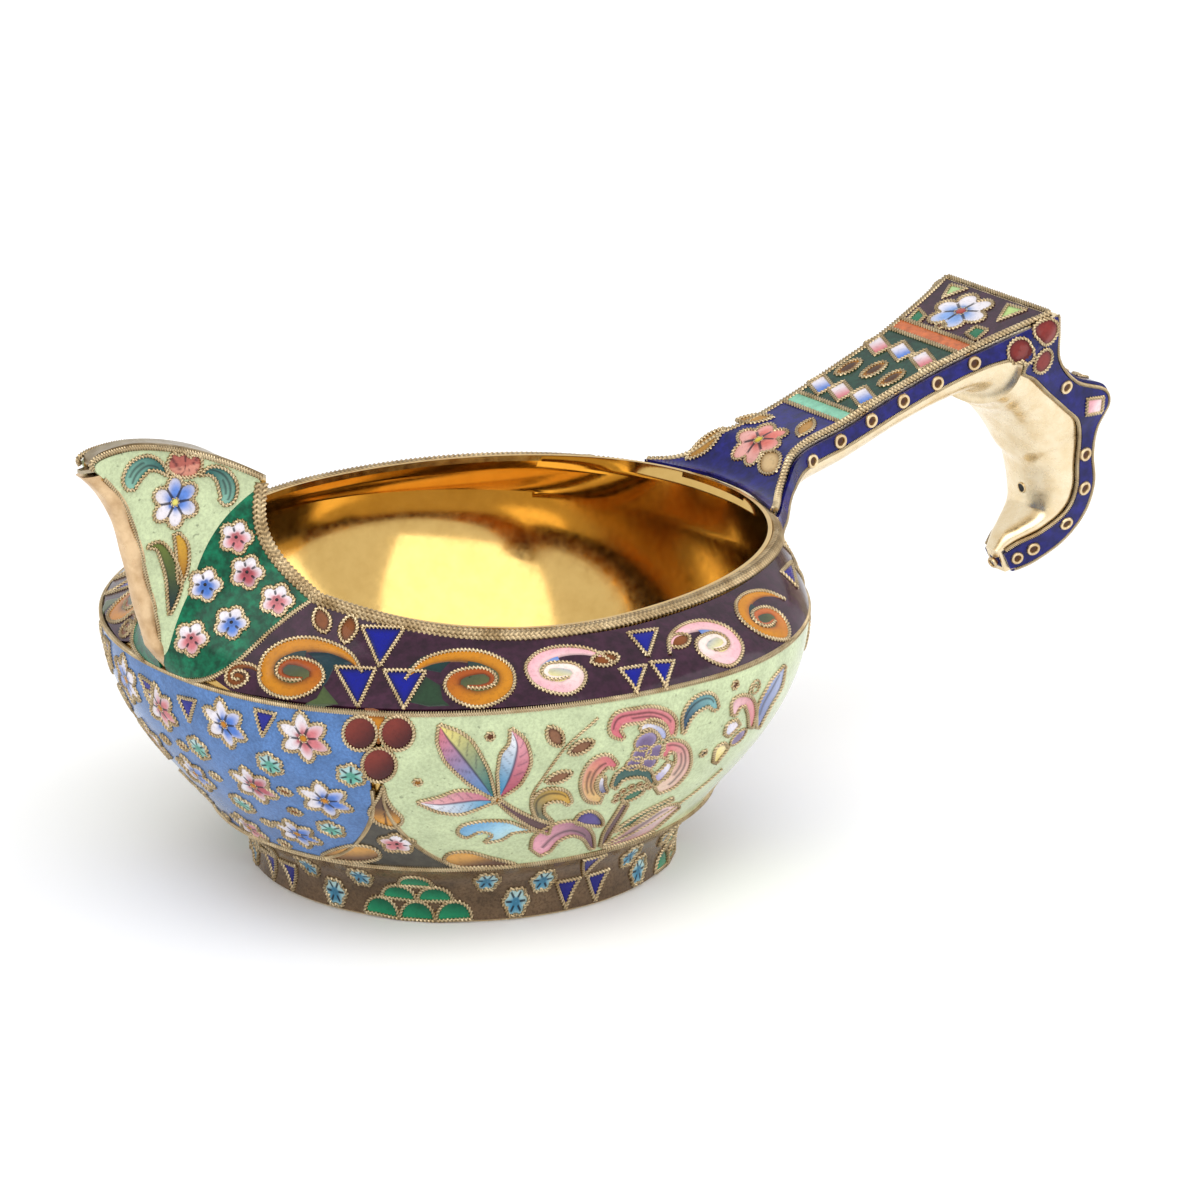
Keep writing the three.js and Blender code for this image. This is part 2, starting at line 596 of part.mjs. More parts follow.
function stemStrip() {
  const heights = ladder(crease(0), crestHeight(0), ROWS.cream, creaseGap, MARGIN).slice(2);
  const rings = heights.map((z) => {
    const plan = planAbove(z);
    const t = prowShare(z);
    const back = plan.centre - plan.front - SKIN_GAP;
    const out = PROW.stem * share(z, BELLY.height, BELLY.height + PROW.bladeRise);
    const front = back - out - PROW.tip * t ** STEM_POWER;
    const edge = plan.blade * STEM_EDGE_SHARE;
    return [[back, plan.blade], [front, edge], [front, -edge], [back, -plan.blade]]
      .map(([x, y]) => new THREE.Vector3(x, y, z));
  });
  return loft(rings);
}
function topPlate() {
  const line = ZONES.cream.at(-1);
  const near = prowColumns.map((c) => line(c).point);
  const nose = near[0].clone().setY(-PROW.blade * STEM_EDGE_SHARE);
  nose.x -= PROW.stem + PROW.tip;
  near.unshift(nose);
  const level = (z) => [near.map((p) => p.clone().setZ(p.z + z)), near.map((p) => mirror(p).setZ(p.z + z))];
  const [topNear, topFar] = level(SEAT_GAP + PROW.topPlate);
  const [lowNear, lowFar] = level(SEAT_GAP);
  return solidFromQuads(slab([topNear, topFar], [lowNear, lowFar]));
}

// Handle

const strapLength = HANDLE.endX - HANDLE.rootX;
const rootLevel = RIM.height + HANDLE.rootRise;
function curveThrough(points) {
  return new THREE.CatmullRomCurve3(points.map((p) => new THREE.Vector3(...p)), false, 'centripetal');
}
const swelling = ([x, z]) => new THREE.Vector2(x, z).multiplyScalar(HANDLE.bulge);
const strapCurve = curveThrough(STRAP_SHARES);
const strapEnd = new THREE.Vector2(HANDLE.endX, rootLevel + HANDLE.rise);
function hookPoint(reach, drop) {
  return new THREE.Vector2(strapEnd.x + HANDLE.hookReach * reach, strapEnd.y - HANDLE.hookDrop * drop);
}
// Place on the strap at a share of its length: centre of the top and half the width
function strapAt(t) {
  let [low, high] = [0, 1];
  for (let i = 0; i < HALVINGS; i++) {
    const middle = (low + high) / 2;
    if (strapCurve.getPoint(middle).x < t) low = middle; else high = middle;
  }
  const p = strapCurve.getPoint(high);
  return {
    x: HANDLE.rootX + strapLength * t,
    z: rootLevel + HANDLE.rise * p.y,
    half: HANDLE.halfEnd * p.z,
  };
}
function strapStation(t) {
  const { x, z, half } = strapAt(t);
  const next = strapAt(Math.min(t + STEP, 1));
  const before = strapAt(Math.max(t - STEP, 0));
  const slope = new THREE.Vector2(next.x - before.x, next.z - before.z).normalize();
  const down = new THREE.Vector2(slope.y, -slope.x).multiplyScalar(HANDLE.band);
  const top = new THREE.Vector2(x, z);
  const swellTurn = share(t, SWELL_TURN_SHARE, 1) ** 2;
  const bandTurn = share(t, BAND_TURN_SHARE, 1) ** 2;
  const swell = down.clone().setLength(HANDLE.bulge).lerp(swelling(CORNER_SWELLING), swellTurn);
  down.lerp(hookPoint(...CORNER_SHARES).sub(strapEnd), bandTurn);
  return { top, low: top.clone().add(down), half, swell };
}
const flat = (p) => new THREE.Vector2(p.x, p.y);
const hookStations = HOOK_SHARES.map(([bx, bz, ix, iz, half, ...swell]) => ({
  top: hookPoint(bx, bz), low: hookPoint(ix, iz), half: HANDLE.halfEnd * half, swell: swelling(swell),
}));
const hookBack = curveThrough(hookStations.map((s) => [s.top.x, s.top.y, s.half]));
const hookFront = curveThrough(hookStations.map((s) => [s.low.x, s.low.y, 0]));
const hookSwell = curveThrough(hookStations.map((s) => [s.swell.x, s.swell.y, 0]));
function hookStation(t) {
  const back = hookBack.getPoint(t);
  const [low, swell] = [hookFront, hookSwell].map((curve) => flat(curve.getPoint(t)));
  return { top: flat(back), low, half: back.z, swell };
}

const panelStops = Object.values(PANEL_SHARES).flatMap(([a, b]) => [a, (a + b) / 2, b]);
const strapStops = [0, STRAP_START_SHARE, ...panelStops, 1];
const strapStations = strapStops.map(strapStation);
const hookShares = steps((HOOK_SHARES.length - 1) * HOOK_SPLIT_COUNT);
const hookList = hookShares.map(hookStation);
const stations = [...strapStations.slice(0, -1), ...hookList];
const at3 = (p, y) => new THREE.Vector3(p.x, y, p.y);

// Where the enamel of a section's side begins and ends, at a distance outside the metal
function sideEdges({ top, low, half }, distance) {
  const across = low.clone().sub(top);
  const inset = across.clone().setLength(Math.min(MARGIN, across.length() * BORDER_SHARE));
  return [low.clone().sub(inset), top.clone().add(inset)].map((p) => at3(p, -half - distance));
}
// Near half of a section, from the middle of its swelling round to the middle of its top
function handleSection({ top, low, half, swell }) {
  const round = steps(BULGE_STEPS).map((t) => {
    const turn = (Math.PI / 2) * (1 - t);
    return at3(low.clone().addScaledVector(swell, Math.sin(turn)), -half * Math.cos(turn));
  });
  round[0].setY(0);
  return [...round, ...sideEdges({ top, low, half }, 0), at3(top, -half), at3(top, 0)];
}

// All that the bowl and its rope take up, with a clearance, carried on upwards over the rim
function bowlEnvelope() {
  const below = steps(ROWS.body).map((t) => planBelow(1 + t));
  const above = steps(ROWS.shoulder).slice(1).map((t) => planAbove(lerp(BELLY.height, RIM.height, t)));
  const levels = [...below, ...above];
  const top = shrunk(levels.at(-1), -SEAT_GAP - 2 * ROPE);
  levels.push({ ...levels.at(-1), z: top.z + OVERRUN });
  return toManifold(loft(levels.map((plan) => {
    const grown = shrunk(plan, -SEAT_GAP - SKIN_GAP);
    if (plan.z < BELLY.height) return ringOf(grown);
    return ringOf({
      ...grown,
      rear: Math.max(grown.rear + grown.centre, top.rear + top.centre) - grown.centre,
      half: (angle) => Math.max(grown.half(angle), top.half(angle)),
    });
  })));
}
const envelope = bowlEnvelope();

function handleBody() {
  const sections = stations.map(handleSection);
  const ends = [sections[0], sections.at(-1)].map((ring) => ring.map(() => ring.at(-1)));
  const quads = gridQuads([ends[0], ...sections, ends[1]], true);
  const body = toManifold(solidFromQuads([...quads, ...mirrorQuads(quads)]));
  const { low, swell } = hookStation(HANDLE.ventShare);
  const out = swell.clone().normalize();
  const face = low.clone().add(swell);
  const { ventRadius, ventDepth } = HANDLE;
  const drill = new THREE.CylinderGeometry(ventRadius, ventRadius, ventDepth * 2, TUBE_SIDES * 2);
  drill.applyQuaternion(new THREE.Quaternion().setFromUnitVectors(new THREE.Vector3(0, 1, 0), at3(out, 0)));
  drill.translate(face.x, 0, face.y);
  drill.deleteAttribute('normal');
  drill.deleteAttribute('uv');
  return fromManifold(body.subtract(envelope).subtract(toManifold(drill)));
}

const stationNormal = (k, list) => {
  const [a, b] = [list[Math.max(k - 1, 0)].top, list[Math.min(k + 1, list.length - 1)].top];
  const slope = b.clone().sub(a).normalize();
  return new THREE.Vector2(-slope.y, slope.x);
};

// A panel on the strap between two shares of its length
function strapPanel([from, to]) {
  const used = [...strapStops.keys()].filter((k) => strapStops[k] >= from && strapStops[k] <= to);
  const rows = (distance) => used.map((k) => {
    const { top, half } = strapStations[k];
    const up = top.clone().addScaledVector(stationNormal(k, strapStations), distance);
    return [at3(up, -(half - MARGIN)), at3(up, half - MARGIN)];
  });
  return solidFromQuads(slab(rows(SKIN_GAP + SKIN).reverse(), rows(SKIN_GAP).reverse()));
}

// The enamelled side of strap and hook
function sideBand(far) {
  const used = stations.slice(strapStops.indexOf(PANEL_SHARES.root[0]));
  const rows = (distance) => used.map((station) => sideEdges(station, distance));
  const quads = slab(rows(SKIN_GAP + SKIN), rows(SKIN_GAP)).map(turned);
  return solidFromQuads(far ? mirrorQuads(quads) : quads);
}

// The enamelled back of the hook
function backPanel() {
  const start = hookShares.findIndex((t) => t > HOOK_PANEL_SHARE);
  const used = hookList.map((_, k) => k).slice(start, -1);
  const rows = (distance) => used.map((k) => {
    const { top, half } = hookList[k];
    const up = top.clone().addScaledVector(stationNormal(k, hookList), distance);
    const inset = half - Math.min(MARGIN, half * BORDER_SHARE);
    return [at3(up, -inset), at3(up, inset)];
  });
  return solidFromQuads(slab(rows(SKIN_GAP + SKIN).reverse(), rows(SKIN_GAP).reverse()));
}

function edgeWire(far) {
  const places = strapStations.map(({ top, half }, k) => {
    const normal = stationNormal(k, strapStations);
    return { point: at3(top, -(half - WIRE / 2)), up: new THREE.Vector3(normal.x, 0, normal.y) };
  });
  return openWire(places.slice(strapStops.indexOf(STRAP_START_SHARE)), far);
}

// Assembly

const ladle = new THREE.Group();
function add(name, geometry, material) {
  const mesh = new THREE.Mesh(geometry, material);
  mesh.name = name;
  ladle.add(mesh);
}
const SIDES = [['near', false], ['far', true]];
const bodyBetween = (low, high) => [inner(ZONES.body), columnsBetween(low, high)];

add('bowl', bowl(), GILT_INSIDE);
add('foot_ring', footRing(), GILT);
add('foot_band_enamel', footBand(), BROWN);
add('front_blue_panel', skinAcross(...bodyBetween(0, MARK.blue), false), BLUE);
add('rear_blue_panel', skinAcross(...bodyBetween(MARK.rearBlue, MARK.end), true), BLUE);
for (const [side, far] of SIDES) {
  add(`cream_side_panel_${side}`, skin(...bodyBetween(MARK.cream, MARK.creamEnd), far), CREAM);
  const narrower = (low, high) => [low + SPANDREL_INSET_SHARE, high - SPANDREL_INSET_SHARE];
  for (const [end, low, high] of [['front', MARK.blue, MARK.cream], ['rear', MARK.creamEnd, MARK.rearBlue]]) {
    const [a, b] = narrower(low, high);
    const columns = steps(COLUMNS.spandrel).map((t) => lerp(a, b, t));
    add(`spandrel_${end}_${side}`, skin(spandrelLines, columns, far), GREY);
  }
  add(`shoulder_band_${side}`, skin(inner(ZONES.shoulder), columnsBetween(...BAND_COLUMNS), far), AUBERGINE);
  const prowSkin = prowColumns.slice(0, -1);
  add(`prow_green_panel_${side}`, skin(inner(ZONES.green), prowSkin.slice(1), far), GREEN);
  add(`prow_cream_panel_${side}`, skin(inner(ZONES.cream), prowSkin.slice(1, -1), far), CREAM);
  add(`prow_lower_wire_${side}`, openWire(prowColumns.slice(2, -1).map(ZONES.green[0]), far), GILT);
  add(`prow_edge_wire_${side}`, openWire(prowColumns.slice(1, -1).map((c) => {
    const prow = prowShareOf(c);
    return prowAt(c, crestHeight(prow) + WIRE / 2);
  }), far), GILT);
  add(`handle_side_band_${side}`, sideBand(far), NAVY);
  add(`strap_edge_wire_${side}`, edgeWire(far), GILT);
}
add('belly_wire', loop(ZONES.body.at(-1), WIRE), GILT);
add('foot_top_wire', loop(ZONES.body[0], WIRE), GILT);
add('rim_rope', rimRope(), GILT);
add('prow_top_plate', topPlate(), GILT);
add('prow_stem_strip', stemStrip(), GILT);
add('handle_body', handleBody(), GILT);
const PANEL_MATERIALS = { turquoise: TURQUOISE, lozenge: DARK_GREEN, orange: ORANGE, end: AUBERGINE };
add('strap_root_panel', fromManifold(toManifold(strapPanel(PANEL_SHARES.root)).subtract(envelope)), NAVY);
for (const [name, material] of Object.entries(PANEL_MATERIALS)) {
  add(`strap_${name}_panel`, strapPanel(PANEL_SHARES[name]), material);
}
add('hook_back_panel', backPanel(), NAVY);

const box = new THREE.Box3().setFromObject(ladle);
ladle.position.x = -(box.min.x + box.max.x) / 2;

export default ladle;
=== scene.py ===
"""Visual model of an enamelled silver-gilt ladle: a low bowl on a foot, a pointed prow and a hooked handle.

All shapes are worked out in millimetres in the frame of the foot's centre and turned into metres at the end.
"""
import math

import bmesh
import bpy
import numpy as np
from mathutils import Matrix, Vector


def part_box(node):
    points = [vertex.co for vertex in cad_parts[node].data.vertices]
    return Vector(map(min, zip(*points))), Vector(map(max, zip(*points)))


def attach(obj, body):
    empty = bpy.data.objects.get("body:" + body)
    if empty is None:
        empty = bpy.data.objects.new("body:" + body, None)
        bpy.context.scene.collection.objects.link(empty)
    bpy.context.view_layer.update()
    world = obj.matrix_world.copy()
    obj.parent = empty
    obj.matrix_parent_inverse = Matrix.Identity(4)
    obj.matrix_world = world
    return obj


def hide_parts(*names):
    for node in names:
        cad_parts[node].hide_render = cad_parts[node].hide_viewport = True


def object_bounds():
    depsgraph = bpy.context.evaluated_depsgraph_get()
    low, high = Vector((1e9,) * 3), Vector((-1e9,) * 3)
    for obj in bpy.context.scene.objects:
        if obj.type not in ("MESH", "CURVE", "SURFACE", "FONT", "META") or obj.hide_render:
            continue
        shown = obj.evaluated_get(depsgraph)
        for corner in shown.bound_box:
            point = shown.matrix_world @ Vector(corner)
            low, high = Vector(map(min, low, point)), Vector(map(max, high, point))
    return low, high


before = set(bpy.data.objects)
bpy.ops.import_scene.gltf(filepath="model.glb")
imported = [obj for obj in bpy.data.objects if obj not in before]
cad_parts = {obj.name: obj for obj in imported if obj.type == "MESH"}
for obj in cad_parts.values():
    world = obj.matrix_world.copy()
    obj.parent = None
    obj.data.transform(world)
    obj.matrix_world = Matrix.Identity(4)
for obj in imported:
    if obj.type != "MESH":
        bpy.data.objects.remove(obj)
CAD_BOX = [list(corner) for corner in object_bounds()]

MM = 0.001
LOW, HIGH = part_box("foot_ring")
SHIFT = (LOW.x + HIGH.x) / 2 / MM      # where the foot's centre stands along X

# Dimensions of the object, in millimetres
METAL_WALL = 0.9
SKIN_TOP = 0.45
SKIN_LOW = 0.1
SEAT_GAP = 0.3
ROPE = 0.6
ROPE_MARGIN = 0.9
MARGIN = 0.35
FOOT_RADIUS_X, FOOT_RADIUS_Y, FOOT_TOP_X, FOOT_TOP_Y, FOOT_HEIGHT = 21.7, 21.3, 26.2, 24.7, 7.4
FOOT_WALL, FOOT_BEAD = 1.1, 0.9
BELLY_HEIGHT, BELLY_CENTRE, BELLY_FRONT, BELLY_REAR, BELLY_HALF = 27.7, 4.0, 41.1, 29.4, 35.3
RIM_HEIGHT, RIM_CENTRE, RIM_REAR, RIM_HALF, RIM_LIP = 32.4, 0.7, 33.5, 27.1, 0.6
TIP_HEIGHT, CREST_HEIGHT, CORNER_HEIGHT = 50.3, 52.1, 47.0
ROOT_RISE, CREASE_RISE = 3.7, 1.9
PROW_LEAN, PROW_FLARE, PROW_BLADE, BLADE_RISE, STEM, TIP = 4.4, 4.2, 0.75, 3.0, 1.2, 0.5
TOP_PLATE = 0.35
STRAP_ROOT, STRAP_END, STRAP_ROOT_HEIGHT, STRAP_END_HEIGHT = 33.2, 73.5, 32.9, 46.0
STRAP_HALF_END, STRAP_BAND, STRAP_BULGE = 8.75, 2.3, 3.0
HOOK_DROP, HOOK_REACH = 31.2, 9.4

# Shares and powers of the plan curves
FOOT_POWER, BELLY_POWER, REAR_POWER, PROW_POWER = 0.5, 0.45, 0.47, 3.8
PROFILE_SHARES = [[0, 0], [0.02, 0.1], [1, 0.5], [1, 1]]
FLARE_POWER, SHOULDER_POWER, RISE_POWER, STEM_POWER = 2.9, 1.4, 3.7, 6
CREST_SHARE, WIRE_POWER, CREASE_POWER = 0.8, 1.75, 1.45
CORNER_ANGLE, CORNER_BOW = 49.0, 3.2
SPANDREL_ANGLE, SPANDREL_HALF, SPANDREL_POWER, SPANDREL_TOP = 38.0, 17.0, 1.7, 0.64
STRAP_SHARES = [
    [0, 0, 1.2], [0.1, 0.15, 0.8], [0.21, 0.27, 0.55], [0.34, 0.37, 0.56],
    [0.5, 0.53, 0.575], [0.67, 0.69, 0.63], [0.84, 0.85, 0.79], [1, 1, 1],
]
CORNER_SHARES = [-0.5, 0.15]
CORNER_SWELLING = [-0.33, -2.03]
HOOK_SHARES = [
    [0, 0, -0.5, 0.15, 1, -0.33, -2.03],
    [0.05, 0.07, -0.5, 0.185, 0.95, 0.17, -1.9],
    [0.1, 0.17, -0.3, 0.22, 0.9, 0.03, -1.87],
    [0.45, 0.28, 0.02, 0.3, 0.81, -0.47, -1.57],
    [0.95, 0.345, 0.33, 0.38, 0.76, -1, -1.4],
    [1.02, 0.39, 0.52, 0.43, 0.73, -1.27, -1.5],
    [0.91, 0.48, 0.63, 0.5, 0.65, -1.27, -1.2],
    [0.88, 0.58, 0.64, 0.6, 0.61, -1.1, -0.7],
    [0.94, 0.69, 0.66, 0.7, 0.57, -1.03, -0.33],
    [0.89, 0.8, 0.6, 0.78, 0.48, -0.93, -0.1],
    [0.7, 0.9, 0.34, 0.85, 0.34, -0.7, 0.17],
    [0.32, 0.975, 0.06, 0.89, 0.2, -0.3, 0.27],
    [0, 1, -0.1, 0.925, 0.12, -0.13, 0.13],
]
PANEL_SHARES = {
    "root": [0.06, 0.335], "turquoise": [0.345, 0.385], "lozenge": [0.395, 0.72],
    "orange": [0.73, 0.77], "end": [0.78, 0.975],
}

# The photograph's camera: what its centre looks at, how it turns and how large it shows a millimetre there
PHOTO_SIZE = 1199
CAMERA_DISTANCE = 850.0
PIXELS_PER_MM = 9.604
CAMERA_RIGHT, CAMERA_UP = 14.19, 25.69
CAMERA_TURN, CAMERA_TILT = math.radians(38.36), math.radians(19.183)
SENSOR = 36.0

LIFT = CREST_HEIGHT - BELLY_HEIGHT
STEP = 1e-4
FLAT = 1e-9
# Levels that bound the slopes of the foot, of the bowl, and of shoulder and prow
FOOT_LEVELS, BOWL_LEVELS, PROW_LEVELS = (0.0, 1.0), (1.0, 2.0), (2.0, 3.3)
# What a place is multiplied by to stand on the far side, or in the plane of symmetry
FAR_SIDE, IN_PLANE = np.array([1, -1, 1]), np.array([1, 0, 1])
# In metres: corners this near are welded, and the mesh keeps this far inside the CAD box
WELD, HAIR = 2e-7, 2e-7
SHARP, WIRE_SHARP = 35.0, 60.0
# The cosine to the view below which a place counts as seen, and the miss added to those that aren't
SEEN_BELOW, UNSEEN_MISS = -0.05, 1e6


# Small helpers

def lerp(a, b, t):
    return a + (b - a) * t


def share(value, low, high):
    return np.clip((value - low) / np.maximum(high - low, 1e-9), 0, 1)


def smooth(t):
    return t * t * (3 - 2 * t)


def unit(v):
    return v / np.maximum(np.linalg.norm(v, axis=-1, keepdims=True), 1e-12)


def rgb(red, green, blue):
    """An sRGB colour in 0 to 255 as linear light."""
    c = np.array([red, green, blue]) / 255
    return np.where(c <= 0.04045, c / 12.92, ((c + 0.055) / 1.055) ** 2.4)


def curve_through(points, ts):
    """Centripetal Catmull-Rom curve through points, at shares ts of its run of points."""
    p = np.asarray(points, float)
    p = np.vstack([2 * p[0] - p[1], p, 2 * p[-1] - p[-2]])
    places = np.clip(np.asarray(ts, float), 0, 1) * (len(points) - 1)
    k = np.minimum(places.astype(int), len(points) - 2)
    w = (places - k)[:, None]
    p0, p1, p2, p3 = p[k], p[k + 1], p[k + 2], p[k + 3]
    pairs = ((p0, p1), (p1, p2), (p2, p3))
    d0, d1, d2 = (np.sqrt(np.linalg.norm(b - a, axis=1))[:, None] for a, b in pairs)
    d1 = np.where(d1 < STEP, 1, d1)
    d0 = np.where(d0 < STEP, d1, d0)
    d2 = np.where(d2 < STEP, d1, d2)
    m1 = ((p1 - p0) / d0 - (p2 - p0) / (d0 + d1) + (p2 - p1) / d1) * d1
    m2 = ((p2 - p1) / d1 - (p3 - p1) / (d1 + d2) + (p3 - p2) / d2) * d1
    return p1 + m1 * w + (-3 * p1 + 3 * p2 - 2 * m1 - m2) * w ** 2 + (2 * p1 - 2 * p2 + m1 + m2) * w ** 3


# The outer metal surface of foot, bowl and prow

def stem_x(z):
    h = np.maximum(0, (z - BELLY_HEIGHT) / (TIP_HEIGHT - BELLY_HEIGHT))
    return BELLY_CENTRE - BELLY_FRONT - PROW_LEAN * (1 - (1 - h) ** 2) - PROW_FLARE * h ** STEM_POWER


COS_CORNER = math.cos(math.radians(CORNER_ANGLE))


def rim_height(t):
    return RIM_HEIGHT + ROOT_RISE * np.minimum(np.maximum(np.cos(t), 0) / COS_CORNER, 1) ** RISE_POWER


ROOT_HEIGHT = float(rim_height(math.radians(CORNER_ANGLE)))


def crest_height(along):
    c = lerp(1, COS_CORNER, along)
    behind_it = (CREST_SHARE - c) / (CREST_SHARE - COS_CORNER)
    before_it = (c - CREST_SHARE) / (1 - CREST_SHARE)
    back = CREST_HEIGHT - (CREST_HEIGHT - CORNER_HEIGHT) * behind_it ** 2
    front = CREST_HEIGHT - (CREST_HEIGHT - TIP_HEIGHT) * before_it ** 2
    return np.where(c < CREST_SHARE, back, front)


def lower_wire(along):
    return BELLY_HEIGHT + (ROOT_HEIGHT - BELLY_HEIGHT) * along ** WIRE_POWER


def crease(along):
    return lerp(BELLY_HEIGHT + CREASE_RISE, CORNER_HEIGHT, along ** CREASE_POWER)


def level_of(z):
    """The level of a height above the belly."""
    return 2 + (z - BELLY_HEIGHT) / LIFT


def height_of(v):
    return BELLY_HEIGHT + (v - 2) * LIFT


def outside(t, v, grow=0.0):
    """Points at plan angles t from the prow and levels v: foot to 1, bowl to 2, then shoulder and prow."""
    t, v = np.broadcast_arrays(np.asarray(t, float), np.asarray(v, float))
    u = np.clip(v - 1, 0, 1)[..., None]
    a, b, c, d = (np.array(s, float) for s in PROFILE_SHARES)
    out = (1 - u) ** 3 * a + 3 * (1 - u) ** 2 * u * b + 3 * (1 - u) * u ** 2 * c + u ** 3 * d
    ex, ez = out[..., 0], out[..., 1]
    flare = np.clip(v, 0, 1) ** FLARE_POWER
    foot, above = v <= 1, v > 2
    z = np.where(foot, FOOT_HEIGHT * v, np.where(above, height_of(v), lerp(FOOT_HEIGHT, BELLY_HEIGHT, ez)))
    h = np.clip((z - BELLY_HEIGHT) / (RIM_HEIGHT - BELLY_HEIGHT), 0, 1)
    centre = np.where(above, lerp(BELLY_CENTRE, RIM_CENTRE, h), BELLY_CENTRE * ex)
    foot_x = lerp(FOOT_RADIUS_X, FOOT_TOP_X, flare)
    front = np.where(foot, foot_x, np.where(above, centre - stem_x(z), lerp(FOOT_TOP_X, BELLY_FRONT, ex)))
    rear_above = lerp(BELLY_CENTRE + BELLY_REAR, RIM_CENTRE + RIM_REAR, h) - centre
    rear = np.where(foot, foot_x, np.where(above, rear_above, lerp(FOOT_TOP_X, BELLY_REAR, ex)))
    climbed = share(z, BELLY_HEIGHT, rim_height(np.maximum(t, math.radians(CORNER_ANGLE))))
    inward = lerp(climbed ** SHOULDER_POWER, smooth(climbed), smooth(share(np.cos(t), 0, COS_CORNER)))
    half_foot = lerp(FOOT_RADIUS_Y, FOOT_TOP_Y, flare)
    half_above = lerp(BELLY_HALF, RIM_HALF, inward)
    half = np.where(foot, half_foot, np.where(above, half_above, lerp(FOOT_TOP_Y, BELLY_HALF, ex)))
    prow = np.maximum(0, (z - BELLY_HEIGHT) / (TIP_HEIGHT - BELLY_HEIGHT))
    power = np.where(above, lerp(BELLY_POWER, PROW_POWER, prow), lerp(FOOT_POWER, BELLY_POWER, ex))
    rear_power = np.where(above, REAR_POWER, lerp(FOOT_POWER, REAR_POWER, ex))
    blade = PROW_BLADE * share(z, BELLY_HEIGHT, BELLY_HEIGHT + BLADE_RISE) * np.maximum(np.cos(t), 0)
    front, rear, half = front + grow, rear + grow, half + grow
    cosine, sine = np.cos(t), np.abs(np.sin(t))
    x = centre - np.where(cosine > 0, front, rear) * cosine
    y = -blade - (half - blade) * sine ** (2 * np.where(cosine > 0, power, rear_power))
    return np.stack([x, np.where(np.sin(t) < -FLAT, -y, y), z], -1)


def behind(y, z, grow):
    """X of the bowl's rear, grown outwards, at places beside the plane of symmetry and heights."""
    h = np.clip((z - BELLY_HEIGHT) / (RIM_HEIGHT - BELLY_HEIGHT), 0, 1)
    centre = lerp(BELLY_CENTRE, RIM_CENTRE, h)
    rear = lerp(BELLY_CENTRE + BELLY_REAR, RIM_CENTRE + RIM_REAR, h) - centre + grow
    half = lerp(BELLY_HALF, RIM_HALF, h) + grow
    return centre + rear * np.sqrt(1 - np.minimum(np.abs(y) / half, 1) ** (1 / REAR_POWER))


# The photograph's camera

RIGHT = np.array([math.cos(CAMERA_TURN), -math.sin(CAMERA_TURN), 0])
UP = np.array([
    math.sin(CAMERA_TILT) * math.sin(CAMERA_TURN), math.sin(CAMERA_TILT) * math.cos(CAMERA_TURN),
    math.cos(CAMERA_TILT),
])
FORWARD = np.cross(UP, RIGHT)
EYE = CAMERA_RIGHT * RIGHT + CAMERA_UP * UP - CAMERA_DISTANCE * FORWARD


def project(points):
    """Pixels of the photograph at which points show."""
    depth = CAMERA_DISTANCE / (CAMERA_DISTANCE + points @ FORWARD)
    x = PHOTO_SIZE / 2 + PIXELS_PER_MM * (points @ RIGHT - CAMERA_RIGHT) * depth
    y = PHOTO_SIZE / 2 - PIXELS_PER_MM * (points @ UP - CAMERA_UP) * depth
    return np.stack([x, y], -1)


def solve(function, start, target, rounds=8):
    """Coordinates at which a function of two coordinates gives the target, by Newton steps."""
    ab = np.array(start, float)
    for _ in range(rounds):
        found = function(ab[..., 0], ab[..., 1])
        da = (function(ab[..., 0] + STEP, ab[..., 1]) - found) / STEP
        db = (function(ab[..., 0], ab[..., 1] + STEP) - found) / STEP
        miss = target - found
        flat = da[..., 0] * db[..., 1] - da[..., 1] * db[..., 0]
        flat = np.where(np.abs(flat) < FLAT, FLAT, flat)
        ab[..., 0] += (miss[..., 0] * db[..., 1] - miss[..., 1] * db[..., 0]) / flat
        ab[..., 1] += (da[..., 0] * miss[..., 1] - da[..., 1] * miss[..., 0]) / flat
    return ab


class Chart:
    """A surface with two coordinates, on which motifs are laid and pixels of the photograph are found."""

    def __init__(self, at, a_range, b_range, tries=160):
        self.at = at
        sides = [np.linspace(*ends, tries) for ends in (a_range, b_range)]
        self.tried = np.stack(np.meshgrid(*sides, indexing="ij"), -1).reshape(-1, 2)
        points, normals = self.facing(self.tried[:, 0], self.tried[:, 1])
        self.seen_at = project(points)
        self.seen = np.einsum("ij,ij->i", normals, unit(points - EYE)) < SEEN_BELOW

    def facing(self, a, b, low=-math.inf, high=math.inf):
        """Places and outward normals. low and high bound the second coordinate when its slope is taken."""
        point = self.at(a, b)
        turn = self.at(a + STEP, b) - self.at(np.where(a < 0, a - STEP, np.maximum(a - STEP, 0)), b)
        climb = self.at(a, np.minimum(b + STEP, high)) - self.at(a, np.maximum(b - STEP, low))
        return point, unit(np.cross(turn, climb))

    def lifted(self, a, b, height, low=-math.inf, high=math.inf):
        point, normal = self.facing(a, b, low, high)
        return point + normal * np.asarray(height)[..., None]

    def shown(self, a, b):
        """Pixels at which the photograph shows the enamel's top."""
        return project(self.lifted(a, b, SKIN_TOP))

    def find(self, pixel):
        """Coordinates of the place that the photograph shows at a pixel."""
        pixel = np.asarray(pixel, float)
        miss = np.linalg.norm(self.seen_at - pixel, axis=1) + np.where(self.seen, 0, UNSEEN_MISS)
        return solve(self.shown, self.tried[np.argmin(miss)], pixel)

    def trace(self, pixels):
        """Coordinates of a line of places seen at pixels, each sought from the one before."""
        starts = [self.find(pixels[0])]
        for pixel in pixels[1:]:
            starts.append(solve(self.shown, starts[-1], pixel, 3))
        return solve(self.shown, np.array(starts), np.asarray(pixels, float))

    def place(self, pixel, turn=0.0, size=1.0):
        return Place(self, self.find(pixel), turn, size)


